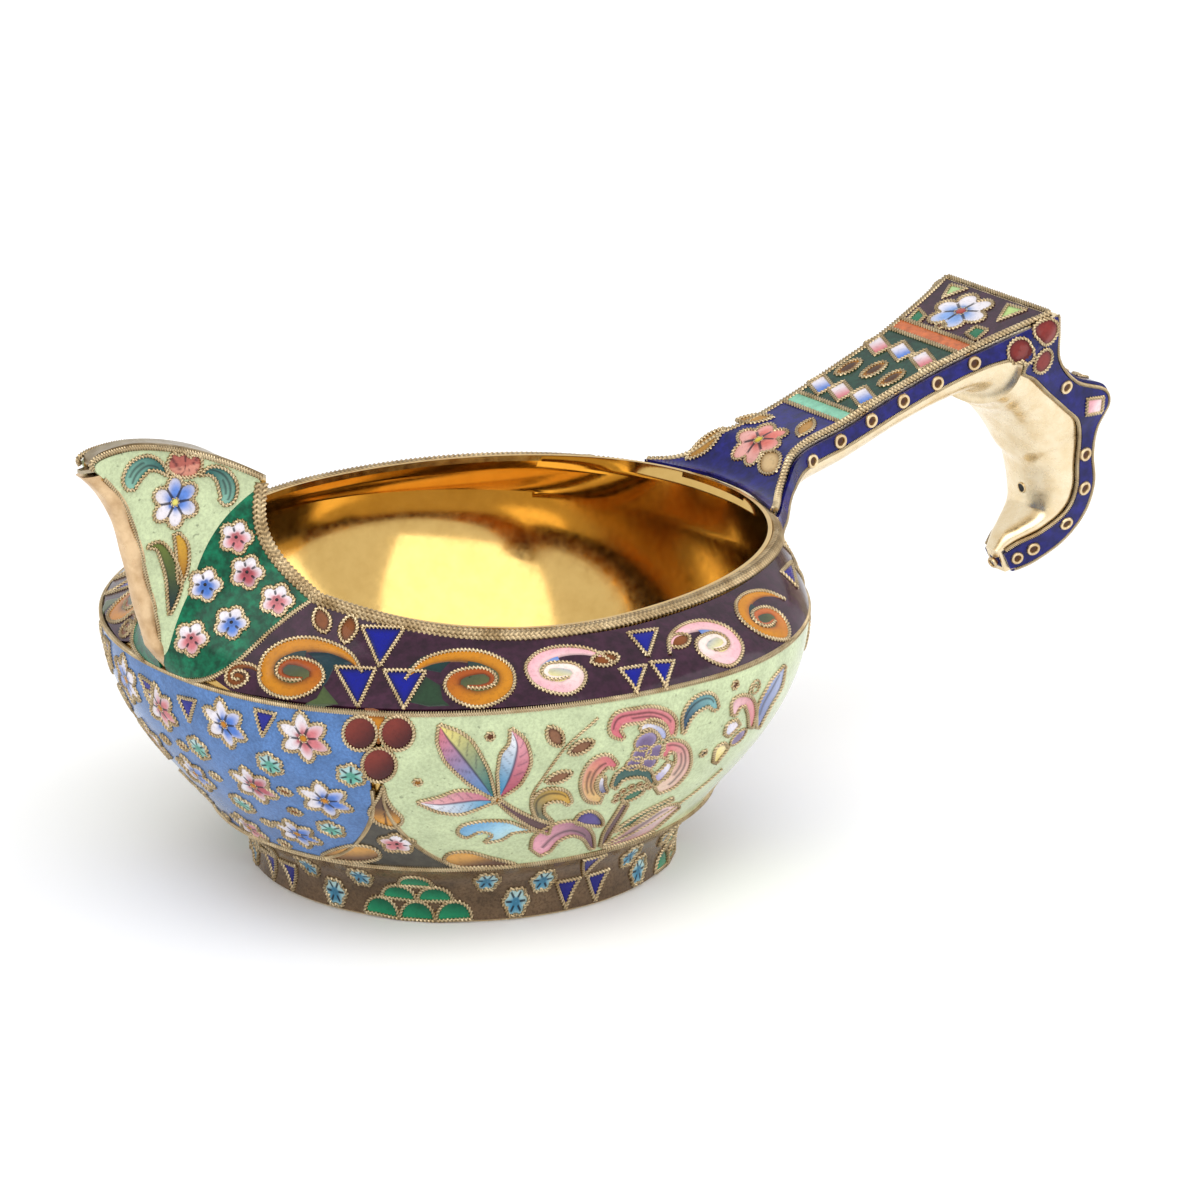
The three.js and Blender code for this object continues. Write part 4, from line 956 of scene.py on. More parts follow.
hook_s = np.linspace(1.03, 1.97, 150)
hook_half = between(half2[:, None], hook_s)[:, 0]
hook_y = (hook_half - np.minimum(MARGIN, hook_half / 4)) * np.linspace(-1, 1, 20)[:, None]
declare(slab_of(Patch(top, hook_s, hook_y)), "enamel_hook_back", NAVY, "hook_back_panel")

# Wires


def resample(points, normals, spacing, closed):
    """Places at even spacing along a line of points."""
    if closed:
        points, normals = np.vstack([points, points[:1]]), np.vstack([normals, normals[:1]])
    run = np.concatenate([[0], np.cumsum(np.linalg.norm(np.diff(points, axis=0), axis=1))])
    count = max(int(run[-1] / spacing), 4)
    at = np.linspace(0, run[-1], count + 1)
    if closed:
        at = at[:-1]
    places = np.stack([np.interp(at, run, points[:, k]) for k in range(3)], -1)
    ups = unit(np.stack([np.interp(at, run, normals[:, k]) for k in range(3)], -1))
    return places, ups, run[-1]


# How dark the painted shade is in the grooves between a wire's strands, and how far the strands stand out
GROOVE_SHADE, LOBES = 0.32, 0.3


def sweep(soup, points, normals, radius, pitch, closed=False, sides=6, lobes=LOBES, twist=1, steps=4):
    """A wire twisted from strands: its section is lobed and turns along the way, and painted shade darkens
    the grooves between its strands.
    """
    places, ups, length = resample(points, normals, pitch / 2 / steps, closed)
    if closed:
        run = unit(np.roll(places, -1, 0) - np.roll(places, 1, 0))
    else:
        run = unit(np.gradient(places, axis=0))
    aside = unit(np.cross(ups, run))
    over = np.cross(run, aside)
    turns = max(round(length / pitch), 1) * 2 * math.pi * twist
    phase = np.linspace(0, turns, len(places) + (1 if closed else 0))[:len(places), None]
    angle = np.linspace(0, 2 * math.pi, sides, endpoint=False)[None]
    swell = np.cos(2 * (angle - phase))
    wide = radius * (1 + lobes * swell)
    # painted shade: darker where the section narrows into a groove between strands, lighter on the strands
    groove_shading = lerp(1 - (1 - GROOVE_SHADE) * min(lobes / LOBES, 1), 1.0, smooth((1 + swell) / 2))
    ring = places[:, None] + (wide * np.cos(angle))[..., None] * aside[:, None]
    ring = ring + (wide * np.sin(angle))[..., None] * over[:, None]
    if closed:
        before, after = ring[:0], ring[:1]
    else:
        before, after = places[:1, None] + 0 * ring[:1], places[-1:, None] + 0 * ring[-1:]
    groove_shadings = np.concatenate([groove_shading[:len(before)], groove_shading, groove_shading[:len(after)]])
    soup.grid(np.concatenate([before, ring, after]), np.repeat(groove_shadings[..., None], 3, -1), closed=True)


# Ornament: cells are domed a little above the enamel, and their edges dip under the wires round them
CELL_WIRE, CELL_PITCH = 0.2, 0.8
WIRE_SEAT, CELL_SEAT = SKIN_TOP + 0.05, SKIN_TOP + 0.03
CELL_DOME, RIBBON_DOME, EDGE_DIP, EDGE_FROM = 0.07, 0.06, 0.07, 0.99
LEAST_HALF = 0.3      # half the least width of a ribbon, in pixels


def signed_area(outline):
    x, y = outline[:, 0], outline[:, 1]
    return 0.5 * np.sum(x * np.roll(y, -1) - np.roll(x, -1) * y)


def cell_height(out, dome, sink=0.0):
    """Height over the metal at shares of the way out to a cell's edge."""
    return CELL_SEAT - sink + dome * (1 - out ** 2) - EDGE_DIP * (out > EDGE_FROM)


class Work:
    """The wires and the filled cells of one zone."""

    def __init__(self, chart):
        self.chart, self.wires, self.cells = chart, Soup(), Soup()

    def wire(self, ab, closed=True, radius=CELL_WIRE, height=WIRE_SEAT, lobes=LOBES):
        points, normals = self.chart.facing(*ab.T)
        sweep(self.wires, points + normals * height, normals, radius, CELL_PITCH, closed, lobes=lobes)

    def fill(self, ab, height, colours, **sense):
        height = np.broadcast_to(height, ab.shape[:-1])
        points = self.chart.lifted(ab[..., 0], ab[..., 1], height)
        self.cells.grid(points, np.broadcast_to(colours, points.shape), **sense)

    def cell(self, place, outline, shade, middle=None, rings=6, wire=True, dome=CELL_DOME, sink=0.0,
             radius=CELL_WIRE, lobes=LOBES):
        """Fills a closed outline, star-shaped round its middle, and sets a wire round it."""
        outline = np.asarray(outline, float)
        middle = outline.mean(0) if middle is None else np.asarray(middle, float)
        k = np.linspace(0, 1, rings + 1)[:, None, None]
        uv = middle + (outline - middle) * k
        ab = place.lay(uv.reshape(-1, 2)).reshape(uv.shape)
        turn = np.linspace(0, 1, len(outline), endpoint=False)[None]
        colours = shade(k[..., 0], uv - middle, turn)
        self.fill(ab, cell_height(k[..., 0], dome, sink), colours, flip=signed_area(outline) > 0, closed=True)
        if wire:
            self.wire(ab[-1], radius=radius, lobes=lobes)

    def ribbon(self, spine, widths, shade, count=40, across=8):
        """Fills a strip round a spine and sets wires round it. Spine and half widths are in pixels."""
        s = np.linspace(0, 1, count)
        line = curve_through(spine, s)
        half = curve_through(np.array([[w, 0] for w in widths], float), s)[:, 0]
        half = np.maximum(half, LEAST_HALF)
        run = unit(np.gradient(line, axis=0))
        aside = np.stack([run[:, 1], -run[:, 0]], -1)
        q = np.linspace(-1, 1, across + 1)
        pixels = line[:, None] + aside[:, None] * (half[:, None] * q)[..., None]
        start = np.broadcast_to(self.chart.trace(line)[:, None], pixels.shape)
        ab = solve(self.chart.shown, start, pixels)
        self.fill(ab, cell_height(np.abs(q), RIBBON_DOME)[None], shade(s[:, None], q[None]), flip=True)
        self.wire(np.concatenate([ab[:, 0], ab[::-1, -1]]))

    def line(self, place, points, radius=CELL_WIRE):
        """A wire through places on a sheet."""
        uv = curve_through(points, np.linspace(0, 1, 12 * len(points)))
        self.wire(place.lay(uv), closed=False, radius=radius)

    def finish(self, name, sides=True):
        """One piece of wires and one of cells, in all or on each side."""
        for soup, kind, material in ((self.wires, "wires_", GILT_WIRE), (self.cells, "cells_", PAINTED)):
            if soup.parts:
                (both if sides else declare)(soup, kind + name, material, sharp=WIRE_SHARP)


# Shades: functions of the share of the way out (or along) and of the place in the cell

def blend(a, b, t):
    t = np.asarray(t)[..., None]
    return np.asarray(a) * (1 - t) + np.asarray(b) * t


def soft(value, low, high):
    return smooth(share(value, low, high))


# Strokes on petals: half their width in all, and what their width takes from the petals'
STROKE, STROKE_SHARE = 0.05, 0.09
WHITE, BLACK, INK_BLACK = rgb(232, 226, 232), rgb(26, 20, 26), rgb(16, 14, 30)
PINK, ROSE, SKY = rgb(206, 118, 124), rgb(180, 82, 92), rgb(78, 122, 204)
AMBER, BRONZE, UMBER = rgb(196, 126, 20), rgb(124, 66, 20), rgb(72, 42, 20)
COBALT, INK = rgb(4, 16, 134), rgb(2, 4, 70)
TEAL, PALE_TEAL = rgb(28, 86, 84), rgb(128, 178, 160)
LEAF_GREEN, DEEP_GREEN, AQUA = rgb(16, 110, 74), rgb(10, 54, 40), rgb(96, 176, 156)
YELLOW = rgb(236, 222, 132)


def plain(inner, outer):
    """From one colour in the middle to another at the edge."""
    return lambda r, uv, turn: blend(inner, outer, soft(r, 0.45, 1) + 0 * turn)


def leaning(first, second, direction, size):
    """From one colour to another across the cell."""
    d = np.array([math.cos(direction), math.sin(direction)])
    return lambda r, uv, turn: blend(first, second, soft(uv @ d / size, -1, 1))


def petal_outline(radius, petals, depth, rounding, per=18):
    """A flower's outline, and how far each of its places is from the gap between petals, 0 to 1."""
    angle = np.linspace(0, 2 * math.pi, petals * per, endpoint=False)
    crest = np.abs((angle * petals / (2 * math.pi)) % 1 - 0.5) * 2
    r = radius * (depth + (1 - depth) * (1 - (1 - crest) ** rounding))
    return np.stack([r * np.cos(angle), r * np.sin(angle)], -1), crest


def petal_shade(crest, span, white, tint, centre, lean, strokes, mid_strokes, inmost):
    """White petals that take colour towards the middle and to one side, with dark strokes between them."""
    d = np.array([math.cos(lean), math.sin(lean)])
    wide = STROKE + STROKE_SHARE * span

    def shade(r, uv, turn):
        direction = unit(uv + 1e-9) @ d
        tinted = soft(1.0 - r + 0.32 * direction, 0.1, 0.8)
        colour = blend(white, tint, tinted)
        colour = blend(colour, centre, soft(0.4 - r, 0, 0.15) * np.ones_like(turn))
        from_gap, from_middle = crest[None] * span * r, (1 - crest[None]) * span * r
        dark = soft(wide - from_gap, -0.03, 0.03) * (r > inmost) * (r < strokes)
        dark = np.maximum(dark, soft(wide - from_middle, -0.03, 0.03) * (r > 0.3) * (r < mid_strokes))
        return blend(colour, INK_BLACK, dark * 0.9)
    return shade


def flower(work, place, radius, petals=6, tint=SKY, eye=AMBER, depth=0.6, rounding=1.35, eye_size=0.17,
           strokes=0.8, mid_strokes=0.0, lean=-1.9, white=WHITE, inmost=0.15, eye_wire=True):
    """Petals with strokes between them, or down their middles out to mid_strokes, and a round eye."""
    outline, crest = petal_outline(radius, petals, depth, rounding)
    span = math.pi / petals * radius
    shade = petal_shade(crest, span, white, tint, blend(tint, BLACK, 0.3), lean, strokes, mid_strokes, inmost)
    work.cell(place, outline, shade, middle=(0, 0), rings=11, dome=0.1)
    work.cell(place, disc(radius * eye_size, 16), plain(eye, blend(eye, BLACK, 0.6)), middle=(0, 0),
              rings=3, wire=eye_wire, sink=-0.1, radius=0.1)


def panel_flower(work, place, radius, tint):
    """A six-petal flower with an amber eye, as on the blue fields."""
    flower(work, place, radius, 6, tint, AMBER, 0.58, 1.3, 0.16)


def small_flower(work, place, radius, tint):
    """A five-petal flower with a dark eye and short strokes."""
    flower(work, place, radius, 5, tint, BLACK, 0.72, 1.8, 0.13, 0.78, eye_wire=False, lean=-2.6, inmost=0.38)


def aqua_flower(work, place, radius, tint):
    """A small pale flower with a stroke down each petal."""
    flower(work, place, radius, 6, tint, tint, 0.8, 1.8, 0.08, 0.0, 0.78, white=rgb(176, 208, 208),
           eye_wire=False)


def dense(corners, per=10):
    """A closed polygon with places along its sides."""
    corners = np.asarray(corners, float)
    shares = np.linspace(0, 1, per, endpoint=False)[:, None]
    return np.concatenate([lerp(a, b, shares) for a, b in zip(corners, np.roll(corners, -1, 0))])


def spread_smooth(points, count=56):
    """A closed smooth line through points. It runs on over both ends, and the middle part is taken."""
    p = np.asarray(points, float)
    shares = np.linspace(2, len(p) + 2, count, endpoint=False) / (len(p) + 4)
    return curve_through(np.vstack([p[-2:], p, p[:3]]), shares)


def ellipse(long, short, turn=0.0, pointed=0.0, count=28):
    angle = np.linspace(0, 2 * math.pi, count, endpoint=False)
    x, y = long * np.cos(angle), short * np.sin(angle) * (1 - pointed * np.abs(np.cos(angle)) ** 2)
    return np.stack([x * math.cos(turn) - y * math.sin(turn), x * math.sin(turn) + y * math.cos(turn)], -1)


def disc(radius, count=24):
    return ellipse(radius, radius, count=count)


def polygon(work, pixels, shade, per=10, **look):
    """A cell with straight sides between pixels of the photograph."""
    place = work.chart.place(pixels.mean(0))
    work.cell(place, dense(place.see(pixels), per), shade, **look)


def triangle(work, pixels, inner=COBALT, outer=INK):
    polygon(work, pixels, plain(inner, outer), rings=5)


def seed(work, place, long, short, turn=0.0, inner=BRONZE, outer=UMBER):
    work.cell(place, ellipse(long, short, turn, 0.25), plain(inner, outer), middle=(0, 0), rings=4)


def dot(work, place, radius, colour=BRONZE):
    shade = plain(blend(colour, BLACK, 0.5), colour)
    work.cell(place, disc(radius, 16), shade, middle=(0, 0), rings=3, radius=0.16)


def ringed(work, place, radius, inner, outer, wire=0.23, **look):
    """A dot in a smooth ring."""
    shade = plain(inner, outer)
    work.cell(place, disc(radius), shade, middle=(0, 0), rings=3, radius=wire, lobes=0.0, **look)


def leaf_cell(work, pixels, shade):
    """A cell from a smooth outline in the photograph."""
    place = work.chart.place(pixels.mean(0))
    work.cell(place, spread_smooth(place.see(pixels)), shade)


def along(first, last, edge=None, strength=0.6, lines=0):
    """A ribbon's colour from start to end, darker towards its edges, with fine dark lines along it."""
    def shade(s, q):
        colour = blend(first, last, soft(s, 0, 1) + 0 * q)
        if edge is not None:
            colour = blend(colour, edge, strength * soft(np.abs(q), 0.5, 1) + 0 * s)
        if lines:
            line = soft(0.17 - np.abs(q - 0.25), 0, 0.1) * (s > 0.2) * (s < 0.85)
            other = soft(0.14 - np.abs(q + 0.3), 0, 0.1) * (s > 0.45) * (s < 0.75) * (lines > 1)
            colour = blend(colour, BLACK, 0.75 * np.maximum(line, other))
        return colour
    return shade


def halves(left, right, far_left, far_right, rib=BLACK):
    """A leaf's colour: a colour on either side of its rib, each changing along it."""
    def shade(s, q):
        a = blend(left, far_left, soft(s, 0, 1) + 0 * q)
        b = blend(right, far_right, soft(s, 0, 1) + 0 * q)
        colour = blend(a, b, soft(q, -0.12, 0.12) + 0 * s)
        rib_line = soft(0.13 - np.abs(q), 0, 0.1) * (s > 0.05) * (s < 0.92)
        strokes = soft(0.4 - np.abs(np.sin(s * 24 - np.abs(q) * 4)), 0, 0.3) * (s > 0.25) * (s < 0.9)
        strokes = strokes * (np.abs(q) > 0.25) * (np.abs(q) < 0.8)
        return blend(colour, rib, 0.85 * rib_line + 0.5 * strokes * (1 - rib_line))
    return shade


# The scroll that the shoulder band repeats: its outer wire from the tail round to the middle of the curl
VOLUTE = np.array([
    (6.3, 0.8), (4.75, 2.8), (2.7, 3.8), (0.1, 4.1), (-2.2, 3.5), (-3.9, 1.9), (-4.2, 0.2), (-3.65, -1.5),
    (-1.9, -2.8), (0.1, -3.1), (1.85, -2.1), (2.6, -0.4), (1.85, 1.05), (0.1, 1.65), (-1.6, 1.5), (-2.4, 0.5),
    (-2.1, -0.5), (-1.05, -0.95), (0.5, -0.8),
])
VOLUTE_WIDTHS = [
    0.05, 0.9, 1.3, 1.7, 1.9, 1.8, 1.7, 1.8, 2.0, 2.2, 2.2, 1.9, 1.5, 1.2, 0.9, 0.8, 0.7, 0.6, 0.4,
]
VOLUTE_ROUND = slice(25, 118)      # the part of its line that goes round the ground
VOLUTE_MIDDLE = (0.2, 0.4)


def volute(work, place, hand, outer, inner, ground, curl):
    """A scroll: a wire, the coloured ribbon inside it and the ground that the scroll encloses."""
    s = np.linspace(0, 1, 150)
    line = curve_through(VOLUTE, s) * np.array([hand, 1])
    width = np.interp(s, np.linspace(0, 1, len(VOLUTE_WIDTHS)), VOLUTE_WIDTHS)
    run = unit(np.gradient(line, axis=0))
    inward = np.stack([-run[:, 1], run[:, 0]], -1) * hand
    q = np.linspace(0, 1, 8)
    uv = line[:, None] + inward[:, None] * (width[:, None] * q)[..., None]
    ab = place.lay(uv.reshape(-1, 2)).reshape(uv.shape)
    s, q = s[:, None], q[None]
    height = CELL_SEAT + 0.05 * np.sin(math.pi * q) + 0.03 * s - 0.05 * (q > EDGE_FROM)
    colour = blend(outer, inner, soft(s, 0.4, 0.75) + 0 * q)
    colour = blend(colour, curl, soft(q, 0.45, 0.95) * lerp(0.5, 0.9, soft(s, 0.3, 0.7)))
    colour = blend(colour, BLACK, (0.7 * soft(q, 0.75, 1.0)) * (s < 0.8))
    work.fill(ab, height, colour, flip=hand > 0)
    middle = np.array(VOLUTE_MIDDLE) * np.array([hand, 1])
    work.cell(place, line[VOLUTE_ROUND], ground, middle=middle, rings=7, wire=False, sink=0.02)
    work.wire(ab[:, 0], closed=False)


# Prow: plate on its top and strip along its stem

STEM_EDGE_SHARE = 0.4
STRIP_FOOT, STRIP_WIDER = 0.5, 0.42
PLATE_INSET, PLATE_DISHED, PLATE_DISH = 0.94, 0.5, 0.12      # shares of the width, and a depth


def top_plate():
    """Near half of the plate that closes the prow's top."""
    line = body.at(np.radians(bowed(prow_angles, crest_line)), level_of(crest_line))
    nose = line[0] - np.array([STEM + TIP, 0, 0])
    nose[1] = -PROW_BLADE * STEM_EDGE_SHARE
    near = np.vstack([nose, line])
    low, high = near + np.array([0, 0, SEAT_GAP]), near + np.array([0, 0, SEAT_GAP + TOP_PLATE])
    inset = high * np.array([1, PLATE_INSET, 1])
    dished = inset * np.array([1, PLATE_DISHED, 1]) - np.array([0, 0, PLATE_DISH])
    soup = Soup()
    soup.grid(np.stack([low * IN_PLANE, low, (low + high * 3) / 4, high, inset, dished, dished * IN_PLANE]))
    for k, flip in ((0, True), (-1, False)):
        soup.grid(np.array([[low[k], low[k] * IN_PLANE], [high[k], high[k] * IN_PLANE]]), flip=flip)
    return soup


across(top_plate(), "metal_prow_plate", GILT_PLATE, "prow_top_plate")


def stem_plan(z):
    """X of the stem strip's back and front, and half its width, at heights."""
    risen = share(z, BELLY_HEIGHT, BELLY_HEIGHT + BLADE_RISE)
    back = stem_x(z) - SKIN_LOW
    h = np.maximum(0, (z - BELLY_HEIGHT) / (TIP_HEIGHT - BELLY_HEIGHT))
    return back, back - STEM * risen - TIP * h ** STEM_POWER, PROW_BLADE * risen


def stem_strip():
    """Near half of the rounded strip along the prow's front edge."""
    top_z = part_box("prow_stem_strip")[1].z / MM
    z = np.linspace(BELLY_HEIGHT + STRIP_FOOT, top_z, 80)
    back, front, blade = stem_plan(z)
    back, blade = back + STRIP_WIDER, blade + STRIP_WIDER * (1 + 0.3 * np.sin(z * 1.1))
    turn = np.linspace(0, math.pi / 2, 9)
    x = back[:, None] + (front - back)[:, None] * np.sin(turn) ** 0.6
    y = -blade[:, None] * np.cos(turn) ** 0.6
    rows = np.stack([x, y, np.broadcast_to(z[:, None], x.shape)], -1)
    soup = Soup()
    soup.grid(rows, flip=True)
    soup.grid(np.stack([rows[:, 0] * IN_PLANE, rows[:, 0]], 1), flip=True)
    for k, flip in ((0, False), (-1, True)):
        soup.grid(np.stack([rows[k] * IN_PLANE, rows[k]]), flip=flip)
    return soup


across(stem_strip(), "metal_stem_strip", GILT_STRIP, "prow_stem_strip")


# The drawings on each zone. Places are pixels of the photograph where it shows them.

def px(*pairs):
    return np.array(pairs, float)


# The prow's upper field: two teal volutes, a pink three-lobed flower, a blue flower and a tulip
prow = Work(body)
TEAL_SPINES = [
    (px((167.5, 475.5), (158.5, 466.5), (147.5, 463.5), (136.5, 470), (130.5, 481), (130.5, 490)),
     [0.6, 5, 8, 9.5, 8.5, 4]),
    (px((200, 475), (211, 471), (222, 476), (227.5, 486), (227, 497), (222, 503)), [0.6, 4.5, 8, 9.5, 8, 4]),
]
for spine, widths in TEAL_SPINES:
    prow.ribbon(spine, widths, along(TEAL, PALE_TEAL, TEAL, 0.8, lines=2))
LOBED = px((173.5, 452.5), (168.5, 459), (167, 467), (172.2, 474.2), (182.2, 477.5), (194.3, 476),
           (199.6, 471), (201.7, 464.6), (200.5, 457.5), (195.2, 454.2), (189.8, 457), (184.5, 452.5),
           (178.7, 455))


def lobed_shade(r, uv, turn):
    colour = blend(rgb(206, 138, 118), rgb(176, 96, 84), soft(uv[..., 1], -0.3, -1.4))
    angle = np.arctan2(uv[..., 0], uv[..., 1] + 1.4)
    stroke = soft(0.45 - np.abs(np.sin(angle * 5)), 0, 0.3) * (uv[..., 1] < 0.8) * (r > 0.1)
    return blend(colour, rgb(60, 20, 30), 0.8 * stroke)


leaf_cell(prow, LOBED, lobed_shade)
PROW_FLOWER = (174.5, 502)
flower(prow, body.place(PROW_FLOWER, math.pi / 2), 2.75, 6, rgb(92, 134, 214), rgb(222, 212, 110), 0.66, 1.9,
       0.17, strokes=0.97, lean=-0.8)
TULIP_BODY = px((147.5, 547), (158.7, 546.2), (167.5, 560), (173.7, 580), (172.5, 597.5), (169.5, 614))
TULIP_PETAL = px((176.2, 533.7), (181.2, 545), (182.5, 560), (181.2, 575), (178.7, 583))
tulip_green = along(rgb(104, 118, 44), rgb(14, 40, 46), rgb(16, 48, 44), 0.7)
tulip_amber = along(rgb(206, 158, 50), rgb(150, 96, 24), BRONZE, 0.5)
prow.ribbon(TULIP_BODY, [1, 4.5, 7, 8, 5.5, 1], tulip_green)
prow.ribbon(TULIP_PETAL, [3, 6.5, 6.5, 4.5, 1], tulip_amber)
# The lower field: small flowers
PROW_SMALL_FLOWERS = [
    ((236, 537), PINK), ((247, 572), ROSE), ((205, 584.5), SKY), ((277, 600), PINK), ((231.5, 622.5), SKY),
    ((191.5, 638), PINK),
]
for pixel, tint in PROW_SMALL_FLOWERS:
    small_flower(prow, body.place(pixel, 1.2), 1.75, tint)
prow.finish("prow")

band = Work(body)
GREEN_GROUND = leaning(rgb(18, 46, 54), rgb(96, 98, 50), -1.2, 3.0)
RUST, EMBER = rgb(158, 72, 18), rgb(70, 30, 12)
ROSY, PALE_ROSE, ROSE_CURL = rgb(232, 178, 186), rgb(240, 226, 216), rgb(242, 214, 206)
VOLUTES = [
    ((299.5, 673), 1, 1.0, AMBER, RUST, GREEN_GROUND, EMBER),
    ((471.5, 681.5), -1, 1.03, AMBER, RUST, GREEN_GROUND, EMBER),
    ((563, 673), 1, 0.86, ROSY, PALE_ROSE, leaning(SKY, YELLOW, -2.0, 2.6), ROSE_CURL),
    ((713, 645), -1, 0.86, ROSY, PALE_ROSE, leaning(SKY, YELLOW, -1.2, 2.6), ROSE_CURL),
    ((768, 618), 1, 0.86, AMBER, rgb(186, 96, 50), GREEN_GROUND, rgb(150, 74, 40)),
]
for pixel, hand, size, outer, inner, ground, curl in VOLUTES:
    volute(band, body.place(pixel, size=size), hand, outer, inner, ground, curl)
GROUNDS = [
    (px((305, 651), (330, 650), (356, 663), (335, 668), (327, 684), (321, 690), (323, 672), (316, 660)),
     rgb(20, 52, 60)),
    (px((324, 684), (341, 705), (322, 709), (303, 709), (316, 698)), rgb(72, 88, 48)),
    (px((404, 669), (420, 656), (440, 650), (468, 652), (450, 664), (441, 674), (425, 671)), rgb(16, 50, 48)),
    (px((441, 684), (444, 700), (452, 707), (428, 708), (406, 703), (425, 674)), rgb(36, 62, 40)),
]
for outline, colour in GROUNDS:
    polygon(band, outline, plain(colour, blend(colour, BLACK, 0.4)), 5, wire=False, dome=0.0, sink=0.01)
BAND_TRIANGLES = [
    px((361.7, 626.7), (404.7, 628), (379.7, 667)), px((335.3, 667), (375.6, 668.9), (358, 707.2)),
    px((383.9, 670.6), (425.6, 671.7), (403.9, 708.6)), px((628, 633.6), (657.2, 629.4), (648, 657)),
    px((619.7, 669.7), (646, 665.6), (636.4, 693.3)), px((650.3, 662.8), (673.9, 661.4), (665.6, 689.2)),
    px((781, 572), (791, 562), (797, 588)),
]
for corners in BAND_TRIANGLES:
    triangle(band, corners)
BAND_SEEDS = [
    ((322, 620.5), -1.2, 1.45), ((348.6, 628.9), -1.75, 1.6), ((605, 659.5), 0.1, 1.5),
    ((679.4, 641), 0.2, 1.45),
]
for pixel, turn, size in BAND_SEEDS:
    seed(band, body.place(pixel), size, 0.85, turn)
SMALL_VOLUTE, SMALL_VOLUTE_SIZE = (240, 676.5), 0.36
volute(band, body.place(SMALL_VOLUTE, size=SMALL_VOLUTE_SIZE), 1, BRONZE, UMBER, plain(BRONZE, UMBER), UMBER)
# the band's run towards the handle, which the photograph doesn't show, by plan angle and level
HIDDEN_TRIANGLES, HIDDEN_VOLUTE = (math.radians(149), 2.1), (math.radians(163), 2.09)
place = Place(body, HIDDEN_TRIANGLES)
for x, y in ((0, 1.7), (-1.8, -1.5), (1.8, -1.5)):
    band.cell(place, dense([(x - 1.5, y + 1.3), (x + 1.5, y + 1.3), (x, y - 1.5)]), plain(COBALT, INK))
volute(band, Place(body, HIDDEN_VOLUTE, size=0.62), -1, AMBER, BRONZE, GREEN_GROUND, BRONZE)
band.finish("band")

belly = Work(body)
# a chart of its own for what crosses the plane of symmetry
middle = Work(Chart(outside, (math.radians(-25), math.radians(60)), (1.0, 2.0), 200))
BLUE_FLOWERS = [
    (middle, (161, 707.5), PINK, 2.7), (middle, (196, 773), SKY, 2.7), (middle, (250, 827), PINK, 2.5),
    (belly, (224.5, 724), SKY, 2.8), (belly, (303.7, 738), PINK, 2.85), (belly, (253.7, 785), ROSE, 2.8),
    (belly, (325, 800), SKY, 2.9), (belly, (297.5, 833), SKY, 2.7),
]
for work, pixel, tint, size in BLUE_FLOWERS:
    panel_flower(work, work.chart.place(pixel, 1.65), size, tint)
AQUA_FLOWERS = [
    (middle, (198.7, 747.5)), (middle, (242.5, 803)), (belly, (270, 763.7)), (belly, (351, 775)),
    (belly, (331, 828.5)),
]
for work, pixel in AQUA_FLOWERS:
    aqua_flower(work, work.chart.place(pixel, 0.4), 1.5, AQUA)
BLUE_SEEDS = [
    (middle, px((166, 738.7), (183, 745), (216, 775.7))),
    (belly, px((285, 791), (295, 811), (285, 843), (268, 822))),
]
for work, pixels in BLUE_SEEDS:
    for pixel in pixels:
        seed(work, work.chart.place(pixel), 0.75, 0.5, -0.3)
BLUE_TRIANGLES = px([(255, 708.7), (276, 713.7), (262.5, 736)], [(178.5, 696), (196, 700), (190, 721)])
for corners in BLUE_TRIANGLES:
    triangle(belly, corners, rgb(30, 34, 140), INK)
DISCS = px((360, 733), (397, 733), (379, 764.5))
DISC_PIXELS = disc(17.0, 32)
disc_shade = leaning(rgb(126, 50, 40), rgb(66, 22, 24), -0.8, 1.7)
for pixel in DISCS:
    place = body.place(pixel)
    belly.cell(place, place.see(pixel + DISC_PIXELS), disc_shade, middle=(0, 0))
JUNCTION_MIDDLE = (379, 745)
JUNCTION = px((370, 711), (387, 711), (384, 722), (380, 744), (377, 744), (373, 722))
junction = body.place(JUNCTION_MIDDLE)
belly.cell(junction, dense(junction.see(JUNCTION), 6), plain(AMBER, BRONZE), wire=False, sink=-0.02)
DROP = px((383, 786), (386, 797), (393, 808), (402, 817), (401, 823), (392, 827), (383, 825), (374, 820),
          (369, 812), (375, 802), (380, 794))


def drop_shade(r, uv, turn):
    colour = blend(rgb(92, 66, 48), rgb(214, 150, 62), soft(-uv[..., 1], -0.8, 2.2))
    return blend(colour, rgb(50, 30, 24), 0.8 * (np.abs(uv[..., 0] + 0.1) < 0.1) * (uv[..., 1] < 1.8))


leaf_cell(belly, DROP, drop_shade)
LEAF_PAIRS = [px((322, 856), (340, 847), (358, 844.5), (374, 848), (380, 856), (366, 861), (342, 860)),
              px((516, 864.5), (490, 857), (466, 851), (449, 853), (444, 860), (456, 866), (486, 866.5))]
for outline in LEAF_PAIRS:
    leaf_cell(belly, outline, leaning(rgb(216, 160, 84), rgb(96, 70, 56), -1.3, 1.2))
RED_FLOWER = (397, 843)
small_flower(belly, body.place(RED_FLOWER, 0.3), 1.9, PINK)
